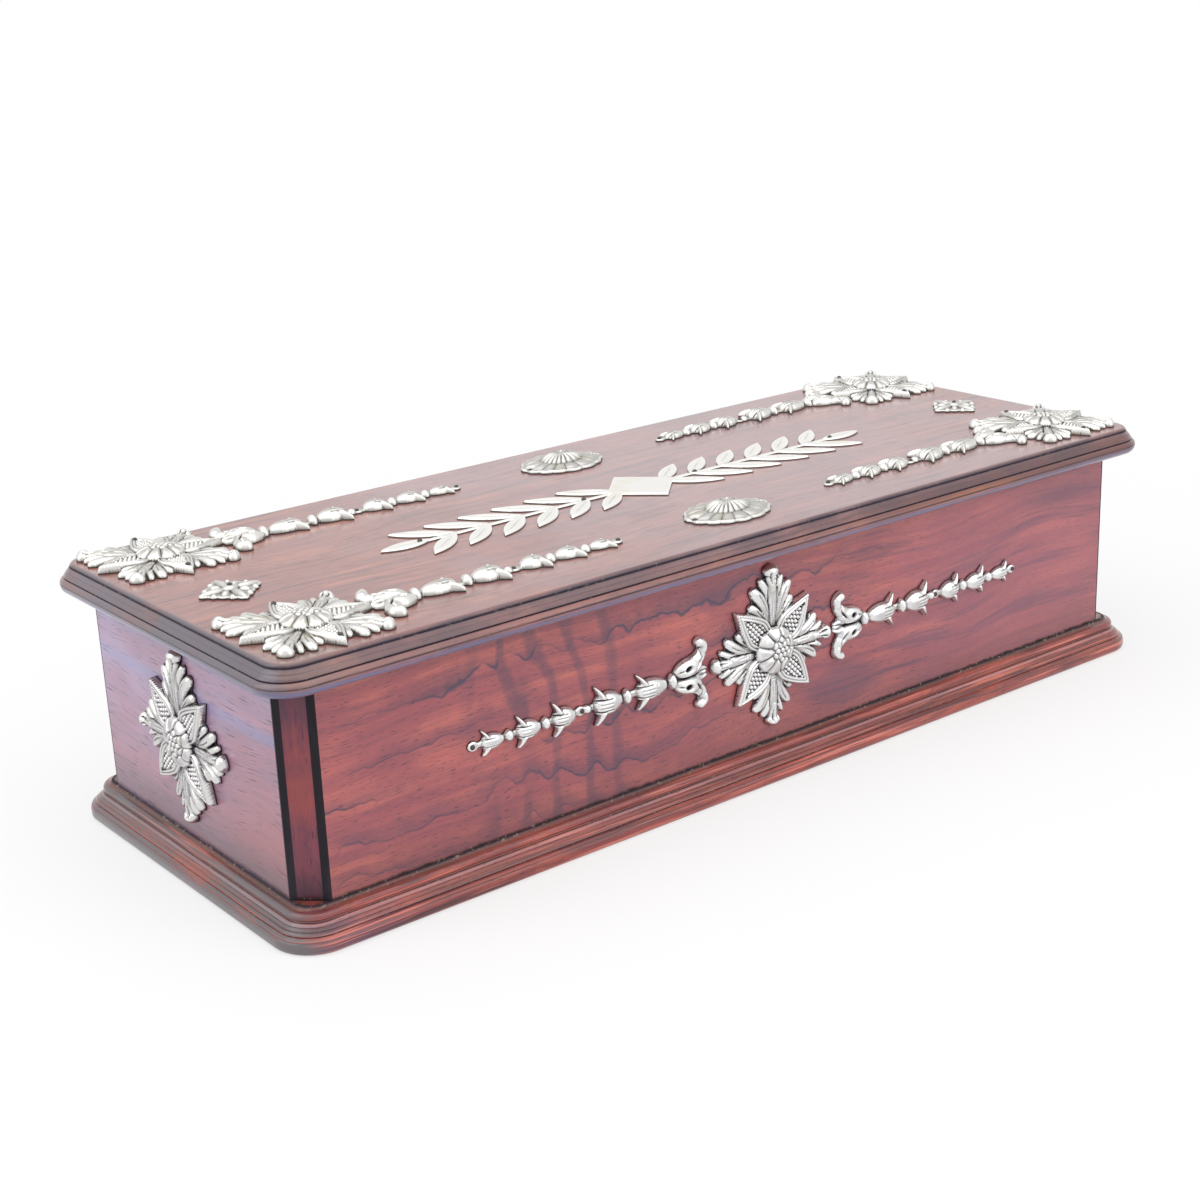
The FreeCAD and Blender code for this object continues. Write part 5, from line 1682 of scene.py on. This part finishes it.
@dataclass
class Carcass:
    """Walls, posts and strings, which keep their CAD shapes."""

    corners: tuple[str, ...] = ("front_left", "front_right", "back_left", "back_right")

    def build(self, finishes: Finishes) -> None:
        """Gives each piece its wood.

        Args:
            finishes: every finish of the box.
        """
        for wall, finish in (("front", "front"), ("back", "back"), ("left", "end"), ("right", "end")):
            dress(f"{wall}_wall", finishes[f"rosewood_{finish}"])
        for corner in self.corners:
            dress(f"corner_post_{corner}", finishes["rosewood_post"])
            dress(f"end_string_{corner}", finishes["ebony"])
            dress(f"side_string_{corner}", finishes["ebony"])
        dress("base_screws", finishes["screw_steel"])


@dataclass
class Hinges:
    """The two brass hinges at the back."""

    names: tuple[str, ...] = ("left", "right")
    parts: tuple[tuple[str, Body], ...] = (("box_leaf", Body.BOX), ("lid_leaf", Body.LID), ("pin", Body.BOX))

    def build(self, finishes: Finishes) -> None:
        """Makes smooth copies of the leaves, pins and screws.

        Args:
            finishes: every finish of the box.
        """
        parts = [(f"{name}_hinge_{part}", body) for name in self.names for part, body in self.parts]
        for node, body in (*parts, ("hinge_screws_box", Body.BOX), ("hinge_screws_lid", Body.LID)):
            smooth_copy(node, body, finishes["brass"])


@dataclass
class Linings:
    """Velvet-covered cards inside the box and under the lid."""

    cards: tuple[tuple[str, Body], ...] = (
        ("floor_lining", Body.BOX), ("front_lining", Body.BOX), ("back_lining", Body.BOX),
        ("left_lining", Body.BOX), ("right_lining", Body.BOX), ("lid_lining", Body.LID))
    soft_edge: float = 0.6
    parts: int = 26
    ripple: float = 0.036

    def build(self, finishes: Finishes) -> None:
        """Makes each card with round edges and a slightly uneven face.

        Args:
            finishes: every finish of the box.
        """
        for node, body in self.cards:
            low, high = (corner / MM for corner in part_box(node))
            size, middle = high - low, (low + high) / 2
            bm = bmesh.new()
            bmesh.ops.create_cube(bm, size=1.0)
            bmesh.ops.scale(bm, vec=size, verts=bm.verts)
            bmesh.ops.bevel(bm, geom=bm.edges[:], offset=self.soft_edge, offset_type="OFFSET", affect="EDGES",
                            segments=4, profile=0.5, material=-1)
            thin = min(range(3), key=lambda axis: size[axis])
            long_edges = [edge for edge in bm.edges if edge.calc_length() > 3 * self.soft_edge]
            bmesh.ops.subdivide_edges(bm, edges=long_edges, cuts=self.parts, use_grid_fill=True)
            for vert in bm.verts:
                x, y, z = vert.co
                wave = math.sin(0.11 * x + 1.3) + math.sin(0.17 * y + 0.6) + math.sin(0.13 * z)
                if vert.co[thin] > 0:
                    vert.co[thin] += self.ripple * wave
            bmesh.ops.translate(bm, vec=middle, verts=bm.verts)
            bmesh.ops.scale(bm, vec=(MM, MM, MM), verts=bm.verts)
            finish_piece(bm, f"{node}.velvet", body, finishes["velvet"], (node,), 60.0)


# Studio


@dataclass
class Studio:
    """Floor, light and camera."""

    eye: Triple = (-0.4242, -0.5213, 0.2749)
    yaw: float = -0.6598
    pitch: float = 0.3273
    roll: float = -0.0399
    lens: float = 60.04
    sensor: float = 36.0
    floor_size: float = 8.0
    shadow_span: Point = (0.2, 0.55)
    shadow_glow: float = 0.66
    surround: float = 0.55
    aim: Triple = (0.0, 0.0, 0.04)
    lamps: tuple[tuple[str, Triple, float, float], ...] = (
        ("top_softbox", (-0.25, -0.1, 1.7), 2.6, 20.0),
        ("left_softbox", (-1.6, 0.35, 0.95), 1.7, 9.0),
        ("front_softbox", (0.7, -1.7, 1.0), 1.9, 11.0),
    )

    def build(self) -> None:
        """Makes the floor, the lamps, the world and the camera."""
        self.make_floor()
        self.make_lamps()
        self.make_world()
        self.make_camera()

    @staticmethod
    def seen(graph: Graph) -> Socket:
        """Tells rays from the camera, a reflection or a see-through piece from those that only light.

        Args:
            graph: the graph to add to.

        Returns:
            The socket, 1 on such rays and 0 on the rest.
        """
        path = graph.node("ShaderNodeLightPath").outputs
        shown = graph.math("MAXIMUM", path["Is Camera Ray"], path["Is Glossy Ray"])
        return graph.math("MAXIMUM", shown, path["Is Transmission Ray"])

    def make_floor(self) -> None:
        """Lays the pale floor, which shows white and keeps a soft shadow."""
        bm = bmesh.new()
        bmesh.ops.create_grid(bm, x_segments=8, y_segments=8, size=self.floor_size / 2)
        mesh = bpy.data.meshes.new("studio_floor")
        bm.to_mesh(mesh)
        bm.free()
        material, graph, shader = new_material("studio_floor")
        paper = graph.noise(object_coordinates(graph), (3.0, 3.0, 3.0), 2.0)
        pale = graph.mix(paper, (0.90, 0.90, 0.91), (0.93, 0.93, 0.93))
        graph.fill(shader, {"Base Color": pale, "Roughness": 0.9, "Specular IOR Level": 0.1})
        glow = graph.node("ShaderNodeEmission", {"Color": WHITE, "Strength": 1.0})
        away = graph.vector("LENGTH", object_coordinates(graph)).outputs["Value"]
        share = graph.times(self.seen(graph), graph.step(away, *self.shadow_span, self.shadow_glow, 1.0))
        blend = graph.node("ShaderNodeMixShader", {0: share, 1: shader.outputs[0], 2: glow.outputs[0]})
        output = next(node for node in graph.tree.nodes if node.type == "OUTPUT_MATERIAL")
        graph.feed(output.inputs["Surface"], blend.outputs[0])
        mesh.materials.append(material)
        floor = bpy.data.objects.new("studio_floor", mesh)
        bpy.context.scene.collection.objects.link(floor)

    def make_lamps(self) -> None:
        """Hangs the softboxes, each facing the box."""
        for name, place, size, power in self.lamps:
            lamp = bpy.data.lights.new(name, "AREA")
            lamp.shape = "SQUARE"
            lamp.size = size
            lamp.energy = power
            hung = bpy.data.objects.new(name, lamp)
            hung.location = place
            aim = Vector(self.aim) - Vector(place)
            hung.rotation_euler = aim.to_track_quat("-Z", "Y").to_euler()
            bpy.context.scene.collection.objects.link(hung)

    def make_world(self) -> None:
        """Makes a white surround, which lights the box softly."""
        world = bpy.data.worlds.new("studio_world")
        world.use_nodes = True
        bpy.context.scene.world = world
        graph = Graph(world.node_tree)
        back = world.node_tree.nodes["Background"]
        strength = graph.node("ShaderNodeMapRange", {0: self.seen(graph), 3: self.surround, 4: 1.0})
        graph.fill(back, {"Color": WHITE, "Strength": strength.outputs[0]})

    def make_camera(self) -> None:
        """Sets the camera where the photograph was taken from."""
        back = Vector((math.sin(self.yaw) * math.cos(self.pitch), -math.cos(self.yaw) * math.cos(self.pitch),
                       math.sin(self.pitch)))
        level = Vector((math.cos(self.yaw), math.sin(self.yaw), 0.0))
        rise = back.cross(level)
        right = math.cos(self.roll) * level + math.sin(self.roll) * rise
        up = math.cos(self.roll) * rise - math.sin(self.roll) * level
        camera = bpy.data.cameras.new("camera")
        camera.lens = self.lens
        camera.sensor_width = self.sensor
        camera.clip_start = 0.01
        seat = bpy.data.objects.new("camera", camera)
        seat.matrix_world = Matrix((right, up, back)).transposed().to_4x4()
        seat.location = self.eye
        bpy.context.scene.collection.objects.link(seat)
        bpy.context.scene.camera = seat


def main() -> None:
    """Builds the dressed box in order."""
    logging.basicConfig(level=logging.INFO, format="%(message)s")
    bpy.context.scene.view_settings.view_transform = "Standard"
    finishes = Finishes()
    plinth_board().build(finishes)
    Carcass().build(finishes)
    Linings().build(finishes)
    Hinges().build(finishes)
    lid_board().build(finishes)
    Mounts().build(finishes)
    Studio().build()


if __name__ == "__main__":
    main()
